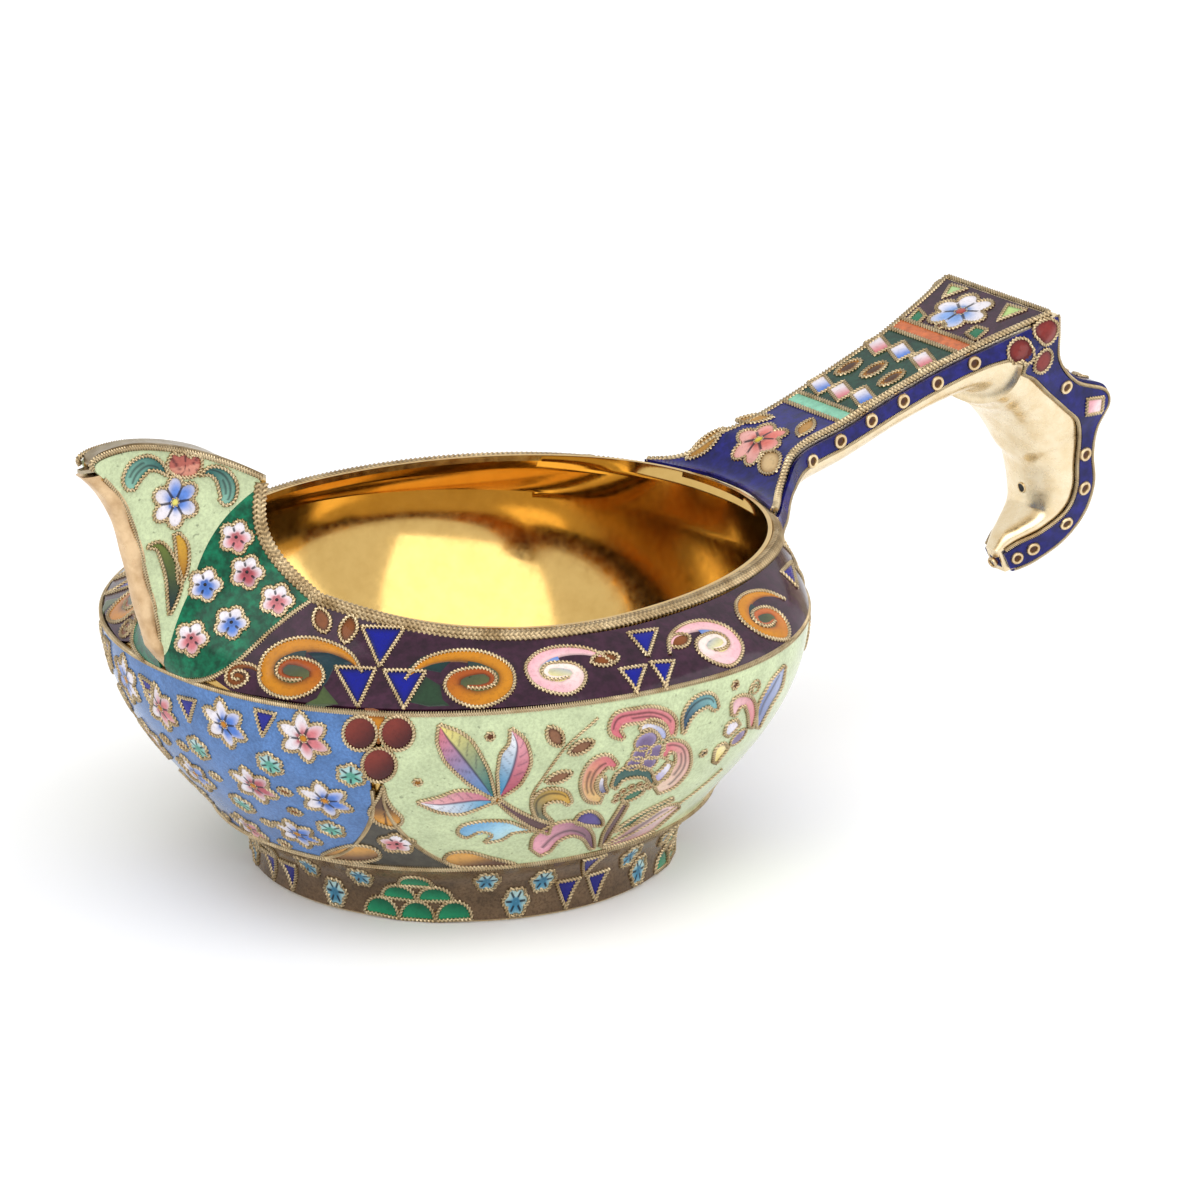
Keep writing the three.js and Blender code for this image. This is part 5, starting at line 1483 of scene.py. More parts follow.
# The side panel's tree
stem_shade = along(rgb(104, 74, 78), rgb(84, 58, 60), rgb(60, 40, 44), 0.5)
STEMS = [
    (px((499, 801), (514, 812), (532, 822), (550, 828)), [2, 3.5, 5, 6]),
    (px((625, 803), (616, 818), (606, 834), (601, 846)), [3, 3.5, 3.5, 2]),
]
for spine, widths in STEMS:
    belly.ribbon(spine, widths, stem_shade)
PETAL_LEAVES = [
    (px((494, 798), (477, 775), (459, 752), (447, 737), (439.5, 725)), [2, 13, 17, 12, 1.2],
     halves(rgb(44, 110, 112), rgb(88, 136, 184), rgb(232, 216, 128), rgb(206, 116, 124), rgb(46, 36, 60))),
    (px((500, 796), (509, 778), (515, 760), (517, 744), (511, 729)), [2, 13, 16, 10, 1.2],
     halves(rgb(170, 78, 98), rgb(60, 136, 178), rgb(226, 160, 170), rgb(236, 236, 240), rgb(36, 34, 70))),
    (px((494, 800), (476, 800), (459, 802), (440, 804), (418, 802)), [2, 9, 12, 8, 1],
     halves(rgb(196, 120, 140), rgb(84, 156, 196), rgb(226, 170, 172), rgb(234, 232, 238), rgb(60, 44, 76))),
]
for spine, widths, shade in PETAL_LEAVES:
    belly.ribbon(spine, widths, shade, count=72, across=14)
LEAVES_MEET = (496.7, 799.5)
dot(belly, body.place(LEAVES_MEET), 0.5, AMBER)
COMB = px((535, 830), (522, 826), (508, 821), (492, 820), (475, 821.5), (461, 825.5), (457.5, 833),
          (466, 837), (480, 831), (492, 834.5), (484.5, 841.5), (502, 839), (514, 832))
leaf_cell(belly, COMB, leaning(rgb(110, 168, 214), rgb(190, 226, 232), -0.9, 3.0))
PETAL_PINK, PETAL_EDGE, LINING = rgb(206, 108, 120), rgb(232, 190, 190), rgb(236, 232, 242)
SCROLLS = [
    (px((592, 848), (586, 834), (571, 828), (554, 833), (542, 843), (535, 852)), [2.5, 6, 7.5, 9, 11, 6],
     along(rgb(110, 76, 96), rgb(232, 166, 182), rgb(214, 140, 156), 0.5, 1)),
    (px((551.4, 822), (539.5, 813.8), (538.3, 802), (549, 795), (563, 796), (569.5, 803)),
     [1.5, 5, 7, 7, 6, 3],
     along(rgb(98, 106, 88), rgb(206, 162, 66), rgb(84, 88, 70), 0.4, 1)),
    (px((603, 846), (626, 836), (646, 824), (662, 813), (678, 805)), [1.5, 5.5, 9, 7, 2],
     along(rgb(150, 106, 108), rgb(240, 206, 206), rgb(214, 146, 152), 0.5, 1)),
    (px((613, 831), (640, 817), (672, 798)), [0.8, 3.5, 1], along(rgb(40, 84, 60), rgb(54, 100, 74))),
    (px((683, 733), (687, 716), (697, 704), (709, 700), (716, 709)), [1, 5, 7, 7, 3],
     along(rgb(40, 62, 92), rgb(126, 176, 178), rgb(74, 118, 128), 0.5, 1)),
    # the large flower's petals
    (px((623, 738), (615, 731), (619, 720), (637, 715.5), (654, 714.5), (668, 721), (672, 735)),
     [2, 6, 7.5, 7.5, 8, 8, 3], along(PETAL_PINK, rgb(214, 130, 134), PETAL_EDGE, 0.7, 2)),
    (px((616, 766), (606, 761), (594.5, 768.5), (588.5, 783), (591, 794), (601, 799)), [3, 7, 8.5, 8.5, 8, 4],
     along(PETAL_PINK, rgb(222, 184, 120), PETAL_EDGE, 0.7, 2)),
    (px((663, 757), (668.5, 746.5), (680.5, 749), (682.5, 763), (671, 779.5), (656, 790)),
     [3, 5.5, 7.5, 8, 7.5, 4],
     along(PETAL_PINK, rgb(226, 196, 176), PETAL_EDGE, 0.7, 2)),
    # the white linings of those petals
    (px((640, 729), (650, 724), (660, 728), (664, 739)), [2, 5, 6, 3], along(LINING, rgb(170, 176, 216))),
    (px((602, 776), (600, 785), (604, 793)), [3.5, 5, 4], along(LINING, rgb(110, 110, 146))),
    (px((670, 762), (663, 773), (654, 779)), [3, 5, 4], along(LINING, rgb(170, 160, 206))),
    # the flower further round
    (px((733, 715), (737, 703), (747, 701), (751, 712), (750, 727)), [2, 5.5, 5.5, 4.5, 2],
     along(rgb(232, 190, 196), rgb(206, 120, 126), rgb(226, 158, 166), 0.5)),
    (px((726, 735), (731, 727), (738, 722)), [2.5, 5, 3], along(rgb(214, 214, 232), rgb(236, 226, 236))),
    (px((714, 762), (720, 750), (726, 745)), [2, 5, 3], along(rgb(236, 216, 128), rgb(240, 226, 170))),
    (px((757, 727), (763, 707), (774, 687), (784, 666)), [1.5, 6, 6.5, 1],
     along(rgb(84, 104, 166), rgb(158, 170, 206), rgb(120, 134, 190), 0.5, 1)),
]
for spine, widths, shade in SCROLLS:
    belly.ribbon(spine, widths, shade)
SCALES = [
    ((646, 741), 1.35), ((641, 753), 1.1), ((655, 751), 1.1), ((634, 763), 1.0), ((648, 763), 1.05),
    ((738, 737), 1.2),
]
for pixel, size in SCALES:
    belly.cell(body.place(pixel), ellipse(size, size * 0.85), plain(rgb(112, 94, 132), rgb(170, 156, 196)),
               middle=(0, -size * 0.3), rings=5, radius=0.14)
FLOWER_GREEN = px((613, 787), (620, 776), (634, 771), (647, 774), (652, 783))
belly.ribbon(FLOWER_GREEN, [3, 5, 6, 5, 2.5], along(rgb(60, 96, 90), rgb(52, 88, 84), rgb(30, 56, 56), 0.6))
FLOWER_EYE, EYE_TURN = (632.5, 794.5), 0.35
eye_place = body.place(FLOWER_EYE)
belly.cell(eye_place, ellipse(1.25, 0.8, EYE_TURN), plain(rgb(56, 110, 86), DEEP_GREEN), middle=(0, 0))
for turn in np.linspace(0.1, math.pi - 0.1, 7):
    at = np.array([2.0 * math.cos(turn + EYE_TURN), 1.55 * math.sin(turn + EYE_TURN)])
    belly.cell(eye_place, at + disc(0.33, 12), plain(BRONZE, UMBER), middle=at, rings=2, radius=0.12)
PURPLE_BUD = px((575, 822), (579, 814), (589, 810.5), (599, 815), (602, 825), (589, 825))
leaf_cell(belly, PURPLE_BUD, plain(rgb(84, 70, 140), rgb(44, 36, 88)))
CREAM_SEEDS = [((555, 736.4), -1.0), ((581, 747), 0.35), ((558.6, 777), 0.3), ((700, 835), 1.0)]
for pixel, turn in CREAM_SEEDS:
    seed(belly, body.place(pixel), 1.35, 0.75, turn, rgb(134, 92, 66), rgb(76, 46, 34))
TWIGS = [px((598, 717.4), (565.7, 747), (544.3, 775.7), (531.2, 797), (534.8, 813.8)),
         px((603, 846), (640, 828), (690, 795), (722, 768))]
for line in TWIGS:
    place = body.place(line[len(line) // 2])
    belly.line(place, place.see(line), 0.15)
CREAM_DOTS = [((490, 736.4), BRONZE), ((417.6, 782), AMBER), ((735, 685), BRONZE), ((703, 753), UMBER)]
for pixel, colour in CREAM_DOTS:
    dot(belly, body.place(pixel), 0.42, colour)
CURL, CURL_START, CURL_GROWTH = (755, 688), 0.25, 0.075
turn = np.linspace(0, 3.4 * math.pi, 40)
spiral = (CURL_START + CURL_GROWTH * turn)[:, None] * np.stack([np.cos(turn), np.sin(turn)], -1)
belly.line(body.place(CURL), spiral[::3], 0.13)

# Places that the photograph doesn't show: the rear panel and spandrel, by plan angle and level
REAR_FLOWERS = [
    (belly, 170, 1.8, SKY, 2.7), (middle, 180, 1.56, PINK, 2.8), (belly, 158, 1.8, PINK, 2.7),
    (belly, 165, 1.5, SKY, 2.6), (belly, 171, 1.24, PINK, 2.4),
]
for work, angle, level, tint, size in REAR_FLOWERS:
    panel_flower(work, Place(work.chart, (math.radians(angle), level), 1.65), size, tint)
REAR_AQUA_FLOWERS = [
    (belly, 154, 1.55), (belly, 159, 1.28), (middle, 180, 1.86), (belly, 172.5, 1.52), (middle, 180, 1.2),
]
for work, angle, level in REAR_AQUA_FLOWERS:
    aqua_flower(work, Place(work.chart, (math.radians(angle), level), 0.4), 1.4, AQUA)
REAR_DISCS = ((-1.8, 0.7), (1.8, 0.7), (0, -2.45))
REAR_TRIANGLES = (
    [(-1.6, 2.5), (1.6, 2.5), (0, 0.9)], [(-1.0, -0.5), (1.0, -0.5), (0, -1.2)],
    [(-0.9, -3.9), (0.9, -3.9), (0, -6.2)],
)
REAR_DROP = [
    (0, 4.2), (0.8, 2.4), (2.2, 0.8), (2.2, 0), (0.8, -0.5), (-0.8, -0.5), (-2.2, 0), (-2.2, 0.8),
    (-0.8, 2.4),
]
REAR_DISC_LEVEL, REAR_DROP_LEVEL = 1.87, 1.28
rear_place = Place(body, (math.radians(REAR_SPANDREL_ANGLE), REAR_DISC_LEVEL))
rear_spandrel = Place(body, (math.radians(REAR_SPANDREL_ANGLE), REAR_DROP_LEVEL))
for at in REAR_DISCS:
    belly.cell(rear_place, at + disc(1.72, 32), disc_shade, middle=at)
for corners in REAR_TRIANGLES:
    belly.cell(rear_place, dense(corners), plain(AMBER, BRONZE), wire=False)
belly.cell(rear_spandrel, REAR_DROP, drop_shade, middle=(0, 0.8))
belly.finish("belly")
middle.finish("middle", sides=False)

foot = Work(body)
FOOT_FIRST, FOOT_PERIOD, FOOT_LEVEL = -4.0, 45.0, 0.5
FOOT_TALL, FOOT_SQUEEZE = 1.42, 0.72
TREFOIL_PLACES = ((0, 1.45), (-1.75, -1.05), (1.75, -1.05))
SCALE_ROWS = ((2, 1), (1, 2), (0, 3))
SCALE_WIDE, SCALE_TALL = 1.7, 1.5
SCALE_APART, SCALE_FOOT = 2.1, -2.4
TREFOIL_HALF, TREFOIL_HIGH = 1.35, 1.2
FOOT_GAPS = [px((308, 864.5), (336, 893), (360, 875)), px((487, 880), (543, 879), (515.5, 903))]
scale_shade = leaning(rgb(38, 150, 104), rgb(8, 66, 46), 1.4, 1.2)
trefoil_shade = plain(rgb(26, 28, 120), INK)


def foot_place(angle, level=FOOT_LEVEL):
    return Place(body, (angle, level), 0.0, FOOT_TALL, FOOT_SQUEEZE)


def foot_trefoil(place):
    for x, y in TREFOIL_PLACES:
        high = y + TREFOIL_HIGH
        corners = [(x - TREFOIL_HALF, high), (x + TREFOIL_HALF, high), (x, y - TREFOIL_HIGH)]
        foot.cell(place, dense(corners), trefoil_shade)


def foot_scales(place):
    turn = np.linspace(0, math.pi, 16)
    for row, count in SCALE_ROWS:
        for k in range(count):
            x, y = (k - (count - 1) / 2) * SCALE_APART * SCALE_WIDE, SCALE_FOOT + row * SCALE_TALL
            arch = np.stack([x + SCALE_WIDE * np.cos(turn), y + SCALE_TALL * np.sin(turn)], -1)
            foot.cell(place, arch, scale_shade, middle=(x, y + 0.7), rings=5)


motif_angles = [math.radians(FOOT_FIRST + FOOT_PERIOD * k) for k in range(round(360 / FOOT_PERIOD))]
gap_flowers = [[body.find(pixel) - np.array([angle, 0]) for pixel in pixels]
               for angle, pixels in zip(motif_angles, FOOT_GAPS)]
for k, angle in enumerate(motif_angles):
    (foot_scales if k % 2 else foot_trefoil)(foot_place(angle))
    for offset, level in gap_flowers[k % 2]:
        aqua_flower(foot, foot_place(offset + angle, np.clip(level, 0.3, 0.78)), 1.3, rgb(70, 138, 172))
foot.finish("foot", sides=False)

# Strap
strap = Work(top)
STRAP_END_FLOWER, STRAP_ROOT_FLOWER, STRAP_DOT = (961, 312), (759, 440), (941, 326)
flower(strap, top.place(STRAP_END_FLOWER, 0.5), 3.6, 6, rgb(128, 164, 222), rgb(170, 70, 60), 0.66, 2.0, 0.2,
       lean=2.6)
flower(strap, top.place(STRAP_ROOT_FLOWER, 0.5), 3.1, 6, rgb(216, 112, 100), rgb(214, 190, 60), 0.66, 1.8,
       0.16, lean=-1.2, white=rgb(228, 168, 160))
STRAP_LEAVES = [
    (px((943, 298), (951, 285), (967, 289)), rgb(176, 206, 140), rgb(92, 140, 100)),
    (px((998, 321), (1008, 305), (1027, 310)), rgb(180, 206, 124), rgb(92, 140, 100)),
    (px((908, 320), (919, 309), (926, 316), (917, 325)), LEAF_GREEN, DEEP_GREEN),
    (px((966, 334), (976, 327), (988, 330), (976, 341)), LEAF_GREEN, DEEP_GREEN),
]
for corners, inner, outer in STRAP_LEAVES:
    polygon(strap, corners, plain(inner, outer), 8)
dot(strap, top.place(STRAP_DOT), 0.6)
LOZENGE = px((-13, -2), (3, -10), (13, 2), (-3, 10))
OVAL = px((-13, 7), (-4, -2), (8, -7), (13, -6), (5, 3), (-7, 8))
# the bars stand this much further out than in the photograph, and what lies between them goes along
BARS_MOVED = np.array([13.0, -8.5])
LOZENGES = [
    ((865, 354), PINK), ((888, 360), SKY), ((910, 368.5), PINK), ((808, 393.5), SKY), ((828, 400), PINK),
    ((850, 405), SKY),
]
OVALS = px((835.5, 375.5), (861, 378), (878.5, 386.5))
for pixel, tint in LOZENGES:
    pixel = pixel + BARS_MOVED
    place = top.place(pixel)
    strap.cell(place, dense(place.see(pixel + LOZENGE), 8), leaning(tint, WHITE, 1.2, 1.3), middle=(0, 0))
for pixel in OVALS + BARS_MOVED:
    place = top.place(pixel)
    strap.cell(place, spread_smooth(place.see(pixel + OVAL), 30), plain(UMBER, AMBER), middle=(0, 0))
SAND, DARK_SAND = rgb(176, 128, 56), rgb(140, 96, 40)
ROOT_LEAVES = [
    ((705, 445), (2.6, 0.9, -0.3, 0.5), SAND, DARK_SAND),
    ((755, 419), (2.0, 0.9, -0.9, 0.5), SAND, DARK_SAND),
    ((806, 428), (1.9, 0.9, 0.5, 0.5), SAND, DARK_SAND),
    ((770, 463), (1.9, 1.3, 1.2, 0.2), rgb(206, 176, 128), rgb(150, 116, 70)),
]
for pixel, form, inner, outer in ROOT_LEAVES:
    strap.cell(top.place(pixel), ellipse(*form), plain(inner, outer), middle=(0, 0))
for first, last in ((0.335, 0.345), (0.385, 0.395), (0.72, 0.73), (0.77, 0.78), (0.98, 0.99)):
    s = (first + last) / 2
    half = strap_at(np.array([s]))[2][0] - 0.3
    y = np.linspace(-half, half, 30)
    strap.wire(np.stack([np.full_like(y, s), y], -1), closed=False, radius=0.26)
strap.finish("strap", sides=False)

# Sides of strap and hook
sides = Work(side)
RINGED = px((812, 461), (840, 441), (871, 420.5), (903, 401), (937, 383), (974, 363), (1066, 387),
            (1085, 454), (1084, 488), (1066, 523), (1033, 548.5))
RING_DARK, RING_GOLD = blend(BRONZE, BLACK, 0.7), rgb(150, 108, 40)
LAST_RINGED = (1.945, 0.5)      # along the side and up it
PINK_SQUARE = (1094, 406)
PINK_CORNERS = px((1087, 399), (1103, 397), (1101, 412), (1086, 415))
for pixel in RINGED:
    ringed(sides, side.place(pixel), 0.62, RING_DARK, RING_GOLD)
ringed(sides, Place(side, LAST_RINGED), 0.56, RING_DARK, RING_GOLD)
square = side.place(PINK_SQUARE)
pink_shade = leaning(rgb(232, 170, 180), rgb(244, 220, 222), 0.5, 0.8)
sides.cell(square, dense(square.see(PINK_CORNERS), 6), pink_shade)
sides.finish("handle")

# At the corner between strap and hook the side's lines kink, so its discs lie on a chart of X and Z
CORNER_STEP = 0.25
corner_x = np.arange(STRAP_END - 8, STRAP_END + 6, CORNER_STEP)
corner_z = np.arange(STRAP_END_HEIGHT - 9, STRAP_END_HEIGHT + 2, CORNER_STEP)
sampled = side_at(*np.meshgrid(np.linspace(0.8, 1.25, 140), np.linspace(0, 1, 60))).reshape(-1, 3)


def side_y(x, z):
    """Y of the place on the side that is nearest to X and Z."""
    return sampled[np.argmin((sampled[:, 0] - x) ** 2 + (sampled[:, 2] - z) ** 2), 1]


corner_y = np.array([[side_y(x, z) for z in corner_z] for x in corner_x])


def corner_at(x, z):
    x, z = np.broadcast_arrays(np.asarray(x, float), np.asarray(z, float))
    a = np.clip((x - corner_x[0]) / CORNER_STEP, 0, len(corner_x) - 1.01)
    b = np.clip((z - corner_z[0]) / CORNER_STEP, 0, len(corner_z) - 1.01)
    i, j = a.astype(int), b.astype(int)
    below, above = (lerp(corner_y[i, row], corner_y[i + 1, row], a - i) for row in (j, j + 1))
    return np.stack([x, lerp(below, above, b - j), z], -1)


corner = Work(Chart(corner_at, (corner_x[0], corner_x[-1]), (corner_z[0], corner_z[-1]), 80))
CORNER_DISCS = px((1046, 333.5), (1019.5, 350.5), (1042.5, 361))
for pixel in CORNER_DISCS:
    corner.cell(corner.chart.place(pixel), disc(1.36, 32), plain(rgb(128, 46, 42), rgb(84, 28, 30)),
                middle=(0, 0), radius=0.2, sink=-0.08)
corner.finish("corner")

# The hook's back and end, which the photograph doesn't show, by places along and across
back = Work(Chart(top_at, (1.02, 1.98), (-8.0, 8.0), 20))
BACK_FLOWERS = ((1.12, 2.7, SKY), (1.52, 2.5, PINK))
BACK_LEAVES = (
    (1.1, 5.2, 0.5), (1.1, -5.2, -0.5), (1.31, 3.6, 2.4), (1.31, -3.6, -2.4),
    (1.52, 4.2, 0.3), (1.52, -4.2, -0.3),
)
BACK_LOZENGES, BACK_LOZENGES_AT = ((-3.4, PINK), (0.0, SKY), (3.4, PINK)), 1.215
BACK_LOZENGE = [(-1.35, 0), (0, -1.0), (1.35, 0), (0, 1.0)]
BACK_DOTS = ((1.32, 0.0), (1.7, 0.0), (1.8, 0.0), (1.88, 0.0), (1.7, 2.4), (1.7, -2.4))
for at, radius, tint in BACK_FLOWERS:
    flower(back, Place(back.chart, (at, 0.0), 0.4), radius, 6, tint, AMBER, 0.66, 1.8, 0.17)
for at, y, turn in BACK_LEAVES:
    back.cell(Place(back.chart, (at, y)), ellipse(1.5, 0.75, turn, 0.5), plain(LEAF_GREEN, DEEP_GREEN),
              middle=(0, 0))
for y, tint in BACK_LOZENGES:
    place = Place(back.chart, (BACK_LOZENGES_AT, y))
    back.cell(place, dense(BACK_LOZENGE, 8), leaning(tint, WHITE, 1.2, 1.3), middle=(0, 0))
for at in BACK_DOTS:
    ringed(back, Place(back.chart, at), 0.62, BRONZE, UMBER, 0.2)
back.finish("hook", sides=False)


def hook_end_at(y, b):
    """The hook's end face: y across it, b from its lower to its upper line."""
    y, b = np.broadcast_arrays(np.asarray(y, float), np.asarray(b, float))
    return xyz(lerp(low2[-1], top2[-1], b[..., None]), y)


END_FACE = [(-0.8, -0.7), (0.8, -0.7), (0.8, 0.7), (-0.8, 0.7)]
hook_end = Work(Chart(hook_end_at, (-0.9, 0.9), (0.0, 1.0), 20))
end_place = Place(hook_end.chart, (0.0, 0.5))
face_shade = plain(rgb(20, 20, 90), rgb(16, 16, 70))
hook_end.cell(end_place, dense(END_FACE, 6), face_shade, middle=(0, 0), wire=False, sink=SKIN_TOP - 0.05)
ringed(hook_end, end_place, 0.5, UMBER, BRONZE, 0.18, sink=SKIN_TOP - 0.15)
hook_end.finish("hook_end", sides=False)

# The vent hole's mouth, on the hook's inner face: a flat near-black disc laid on the surface as painted shade
# where the hole is, with a thin wire round it
VENT_AT, VENT_RADIUS = 1.65, 0.55


def swelling_at(s, y):
    """The swelling inner face of strap and hook: s along it, y across it towards the near side."""
    s, y = np.broadcast_arrays(np.asarray(s, float), np.asarray(y, float))
    found = between(np.column_stack([low2, swell2, half2]), s.ravel()).reshape(*s.shape, 5)
    out = np.sqrt(1 - np.minimum(np.abs(y) / found[..., 4], 1) ** 2)
    return xyz(found[..., :2] + found[..., 2:4] * out[..., None], -y)


vent = Work(Chart(swelling_at, (0.1, 1.9), (-1.0, 1.0), 60))
vent_place = Place(vent.chart, (VENT_AT, 0.0))
# painted shade: the hole's dark inside, as a flat near-black disc
vent.cell(vent_place, disc(VENT_RADIUS), plain(rgb(10, 8, 6), rgb(34, 24, 12)), middle=(0, 0), wire=False,
          sink=SKIN_TOP, dome=0.0)
vent.wire(vent_place.lay(disc(VENT_RADIUS)), radius=0.09, height=0.03, lobes=0.0)
vent.finish("vent", sides=False)

# Border wires. Their heights are those of their axes over the metal.
BORDER_WIRE, BORDER_PITCH, BORDER_SEAT = 0.28, 0.6, 0.37
FINE_WIRE, FINE_PITCH = 0.24, 0.42
LOOP_PITCH = 0.5
STEM_SIDE_ANGLE = 1.1      # degrees
CREST_RUN, LOWER_RUN = (0.08, 0.995), (0.1, 0.99)      # shares of the way from the stem to the rear edge


def border(name, node_name, angles, z, radius=BORDER_WIRE):
    """A wire on the prow at plan angles and heights, on each side."""
    points, normals = body.facing(np.radians(angles), level_of(z))
    soup = Soup()
    sweep(soup, points + normals * BORDER_SEAT, normals, radius, BORDER_PITCH)
    both(soup, name, GILT_WIRE, node_name, WIRE_SHARP)


def full_loop(name, node_name, level, radius, height):
    """A wire all round at one level."""
    t = np.linspace(0, math.pi, 400)
    points, normals = body.facing(t, np.full_like(t, level), *BOWL_LEVELS)
    points = points + normals * height
    points[[0, -1], 1] = 0
    round_points, round_normals = (np.vstack([half, half[-2:0:-1] * FAR_SIDE]) for half in (points, normals))
    soup = Soup()
    sweep(soup, round_points, round_normals, radius, LOOP_PITCH, True)
    declare(soup, name, GILT_WIRE, node_name, sharp=WIRE_SHARP)


full_loop("wire_belly", "belly_wire", 2.0, 0.29, 0.3)
full_loop("wire_foot_top", "foot_top_wire", 1.0, 0.3, BORDER_SEAT)
line = np.linspace(*LOWER_RUN, 120)
border("wire_prow_lower", "prow_lower_wire", line * CORNER_ANGLE, lower_wire(line))
line = np.linspace(*CREST_RUN, 120)
crest = crest_height(line)
border("wire_prow_edge", "prow_edge_wire", bowed(line * CORNER_ANGLE, crest), crest + SEAT_GAP)
z = np.linspace(float(crease(0)) + 1.5, TIP_HEIGHT - 0.4, 120)
border("wire_stem_side", None, np.full_like(z, STEM_SIDE_ANGLE), z, FINE_WIRE)

# Panel borders on the bowl, between the blue, grey and cream fields
fields = Soup()
levels = np.linspace(1.03, 1.05 + SPANDREL_TOP, 70)
for middle in (SPANDREL_ANGLE, REAR_SPANDREL_ANGLE):
    for sign in (-1, 1):
        angles = np.radians(middle + sign * (spandrel_half(levels) - 0.2))
        points, normals = body.facing(angles, levels, *BOWL_LEVELS)
        sweep(fields, points + normals * 0.42, normals, FINE_WIRE, FINE_PITCH)
both(fields, "wires_fields", GILT_WIRE, sharp=WIRE_SHARP)

# Wires along the strap's two edges
EDGE_WIRE, EDGE_PITCH, EDGE_SEAT, EDGE_IN = 0.36, 0.9, 0.32, 0.12
s = np.linspace(ROOT_START / 2, 0.985, 180)
x, z, half = strap_at(s)
clear = x > behind(half, z, ROOT_CLEARANCE)
x, z, half = x[clear], z[clear], half[clear]
points = settled(np.stack([x, EDGE_IN - half, z], -1))
slope = np.gradient(points[:, ::2], axis=0)
normals = unit(np.stack([-slope[:, 1], 0 * x, slope[:, 0]], -1))
edge_wire = Soup()
sweep(edge_wire, points + normals * EDGE_SEAT, normals, EDGE_WIRE, EDGE_PITCH, sides=8)
both(edge_wire, "wire_strap_edge", GILT_WIRE, "strap_edge_wire", WIRE_SHARP)

# The side band's borders: below, at its start, and above on the hook
SIDE_LOW, SIDE_HIGH, SIDE_WIRE_END, SIDE_SEAT = 0.02, 0.98, 1.97, 0.3
below = np.concatenate([np.linspace(SIDE_START, 1, 150)[:-1], np.linspace(1, SIDE_WIRE_END, 150)])
side_wires = Soup()
for s, q in ((below, SIDE_LOW), (SIDE_START, np.linspace(SIDE_LOW, SIDE_HIGH, 12)),
             (np.linspace(1.0, SIDE_WIRE_END, 150), SIDE_HIGH)):
    points, normals = side.facing(*np.broadcast_arrays(s, q))
    sweep(side_wires, points + normals * SIDE_SEAT, normals, CELL_WIRE, FINE_PITCH)
both(side_wires, "wires_side_border", GILT_WIRE, sharp=WIRE_SHARP)

# Rope on the rim: two cords side by side and one of opposite lay over them, which look plaited
CORD_RADIUS, CORD_APART, ROPE_LIFT, CORD_RISE = 0.36, 0.33, 0.4, 0.16
CORD_PITCH, CORD_LOBES, ROPE_OUT, ROPE_SOFTENED = 1.05, 0.24, 0.75, 12


def rim_rope():
    """The rope along the rim and up the back of the prow's two walls."""
    t_rim = np.radians(np.linspace(180, CORNER_ANGLE, 300))
    rim_level = level_of(rim_height(t_rim))
    rim, _ = body.facing(t_rim, rim_level, *PROW_LEVELS)
    # the rim's normals are taken from below it
    rim_up = np.stack([body.facing(np.array([t]), np.array([level]), 2.0, float(level))[1][0]
                       for t, level in zip(t_rim, rim_level)])
    z = np.linspace(ROOT_HEIGHT, CORNER_HEIGHT - 0.1, 120)[1:]
    t_back = np.radians(bowed(np.full_like(z, CORNER_ANGLE), z))
    back, back_up = body.facing(t_back, level_of(z), *PROW_LEVELS)
    edge, ups = np.vstack([rim, back]), np.vstack([rim_up, back_up])
    edge[0, 1], ups[0, 1] = 0, 0
    ups = unit(ups)
    for _ in range(ROPE_SOFTENED):
        ups[1:-1] = unit(ups[:-2] + ups[1:-1] * 2 + ups[2:])
    away = unit(np.cross(unit(np.gradient(edge, axis=0)), ups))
    soup = Soup()
    for offset, rise, twist in ((-CORD_APART, 0, 1), (CORD_APART, 0, 1), (0, CORD_RISE, -1)):
        line = edge + ups * (ROPE_LIFT + rise) - away * (ROPE * ROPE_OUT + offset)
        whole, whole_ups = (np.vstack([half[:0:-1] * FAR_SIDE, half]) for half in (line, ups))
        sweep(soup, whole, whole_ups, CORD_RADIUS, CORD_PITCH, sides=8, lobes=CORD_LOBES, twist=twist,
              steps=5)
    return soup


declare(rim_rope(), "wire_rim_rope", GILT_ROPE, "rim_rope", sharp=WIRE_SHARP)


# Camera, light and stage

def place_camera():
    data = bpy.data.cameras.new("camera")
    camera = bpy.data.objects.new("camera", data)
    bpy.context.scene.collection.objects.link(camera)
    turn = Matrix([[RIGHT[i], UP[i], -FORWARD[i]] for i in range(3)]).to_4x4()
    turn.translation = ((EYE + np.array([SHIFT, 0, 0])) * MM).tolist()
    camera.matrix_world = turn
    data.sensor_width = SENSOR
    data.lens = SENSOR * PIXELS_PER_MM * CAMERA_DISTANCE / PHOTO_SIZE
    data.clip_start, data.clip_end = 0.01, 20
    bpy.context.scene.camera = camera


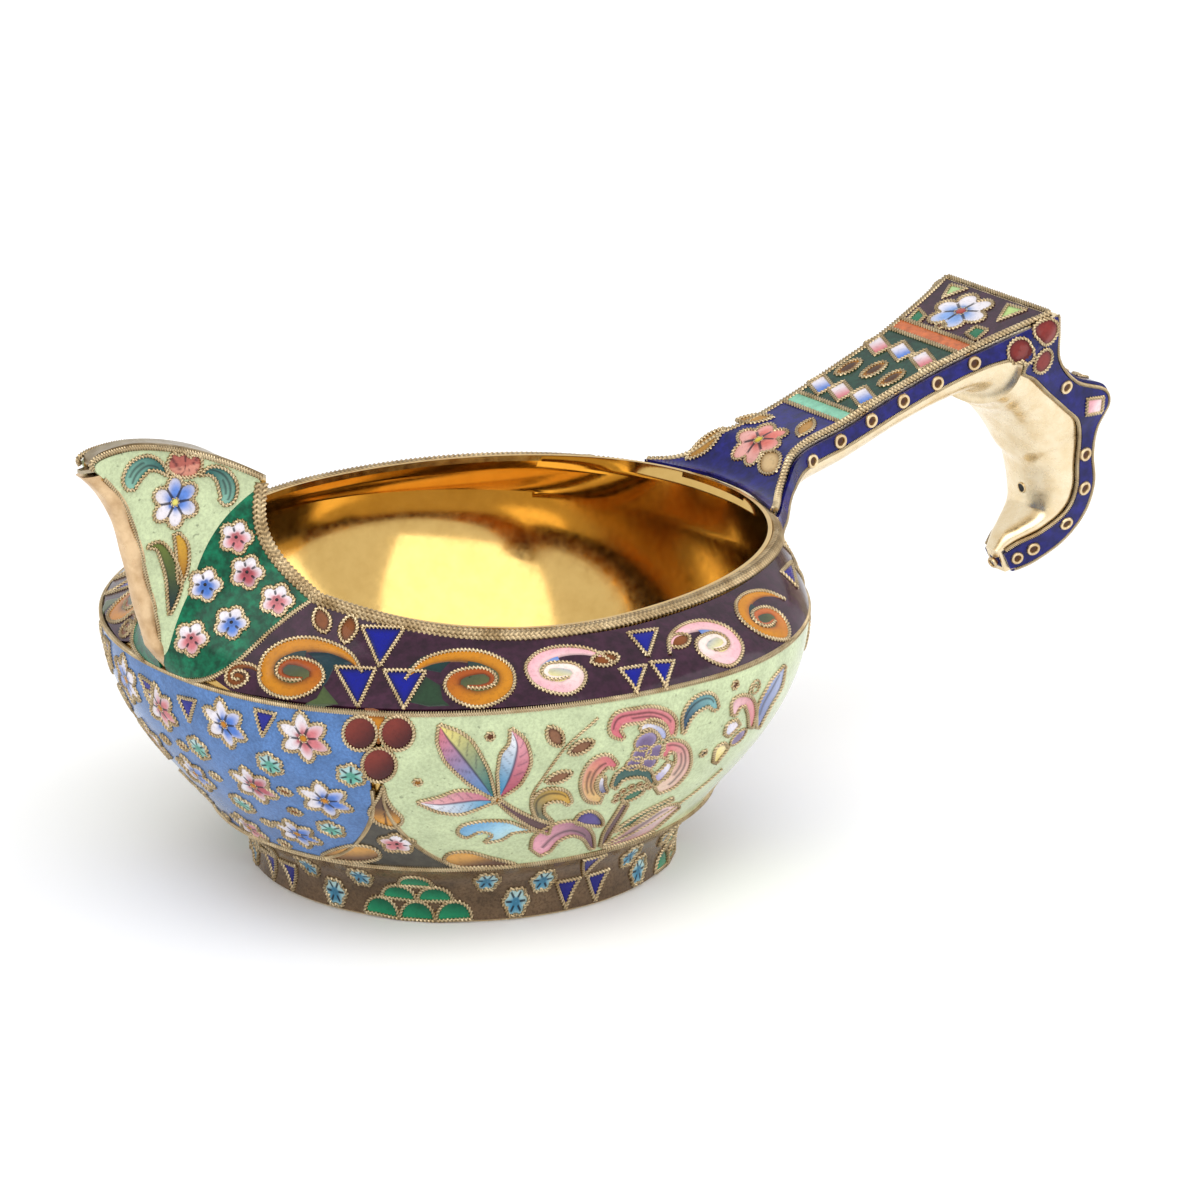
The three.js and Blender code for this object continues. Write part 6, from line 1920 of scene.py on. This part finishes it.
def lamp(name, place, size, power, target=(0, 0, 0.025)):
    data = bpy.data.lights.new(name, "AREA")
    data.shape, data.size, data.energy = "SQUARE", size, power
    light = bpy.data.objects.new(name, data)
    bpy.context.scene.collection.objects.link(light)
    back = np.array(place, float) - np.array(target)
    z = unit(back)
    x = unit(np.cross([0, 0, 1.0], z))
    turn = Matrix([[x[i], np.cross(z, x)[i], z[i]] for i in range(3)]).to_4x4()
    turn.translation = place
    light.matrix_world = turn


# The world's strength where it lights the ladle, and where it is seen or mirrored
AMBIENT, BACKDROP = 0.85, 1.0
FLOOR_SIZE, FLOOR_COLOUR, FLOOR_ROUGHNESS = 6, (0.97, 0.97, 0.97, 1), 0.9
# Name, place, size and power of each lamp
LAMPS = (("key", (-0.5, -0.5, 0.9), 1.3, 8.2), ("side", (0.9, -0.6, 0.6), 0.9, 4.4))


def stage():
    """A white studio: even light from all sides, and a floor."""
    scene = bpy.context.scene
    scene.view_settings.view_transform = "Standard"
    world = bpy.data.worlds.new("studio")
    scene.world = world
    world.use_nodes = True
    tree = world.node_tree
    back = tree.nodes["Background"]
    light = tree.nodes.new("ShaderNodeLightPath")
    seen = tree.nodes.new("ShaderNodeMath")
    seen.operation = "MAXIMUM"
    tree.links.new(light.outputs["Is Camera Ray"], seen.inputs[0])
    tree.links.new(light.outputs["Is Glossy Ray"], seen.inputs[1])
    strength = tree.nodes.new("ShaderNodeMapRange")
    strength.inputs["To Min"].default_value = AMBIENT
    strength.inputs["To Max"].default_value = BACKDROP
    tree.links.new(seen.outputs[0], strength.inputs["Value"])
    tree.links.new(strength.outputs["Result"], back.inputs["Strength"])
    back.inputs["Color"].default_value = (1, 1, 1, 1)
    bpy.ops.mesh.primitive_plane_add(size=FLOOR_SIZE)
    floor = bpy.context.object
    floor.name = "floor"
    material, _, shader = principled("floor")
    shader.inputs["Base Color"].default_value = FLOOR_COLOUR
    shader.inputs["Roughness"].default_value = FLOOR_ROUGHNESS
    floor.data.materials.append(material)


place_camera()
stage()
for settings in LAMPS:
    lamp(*settings)
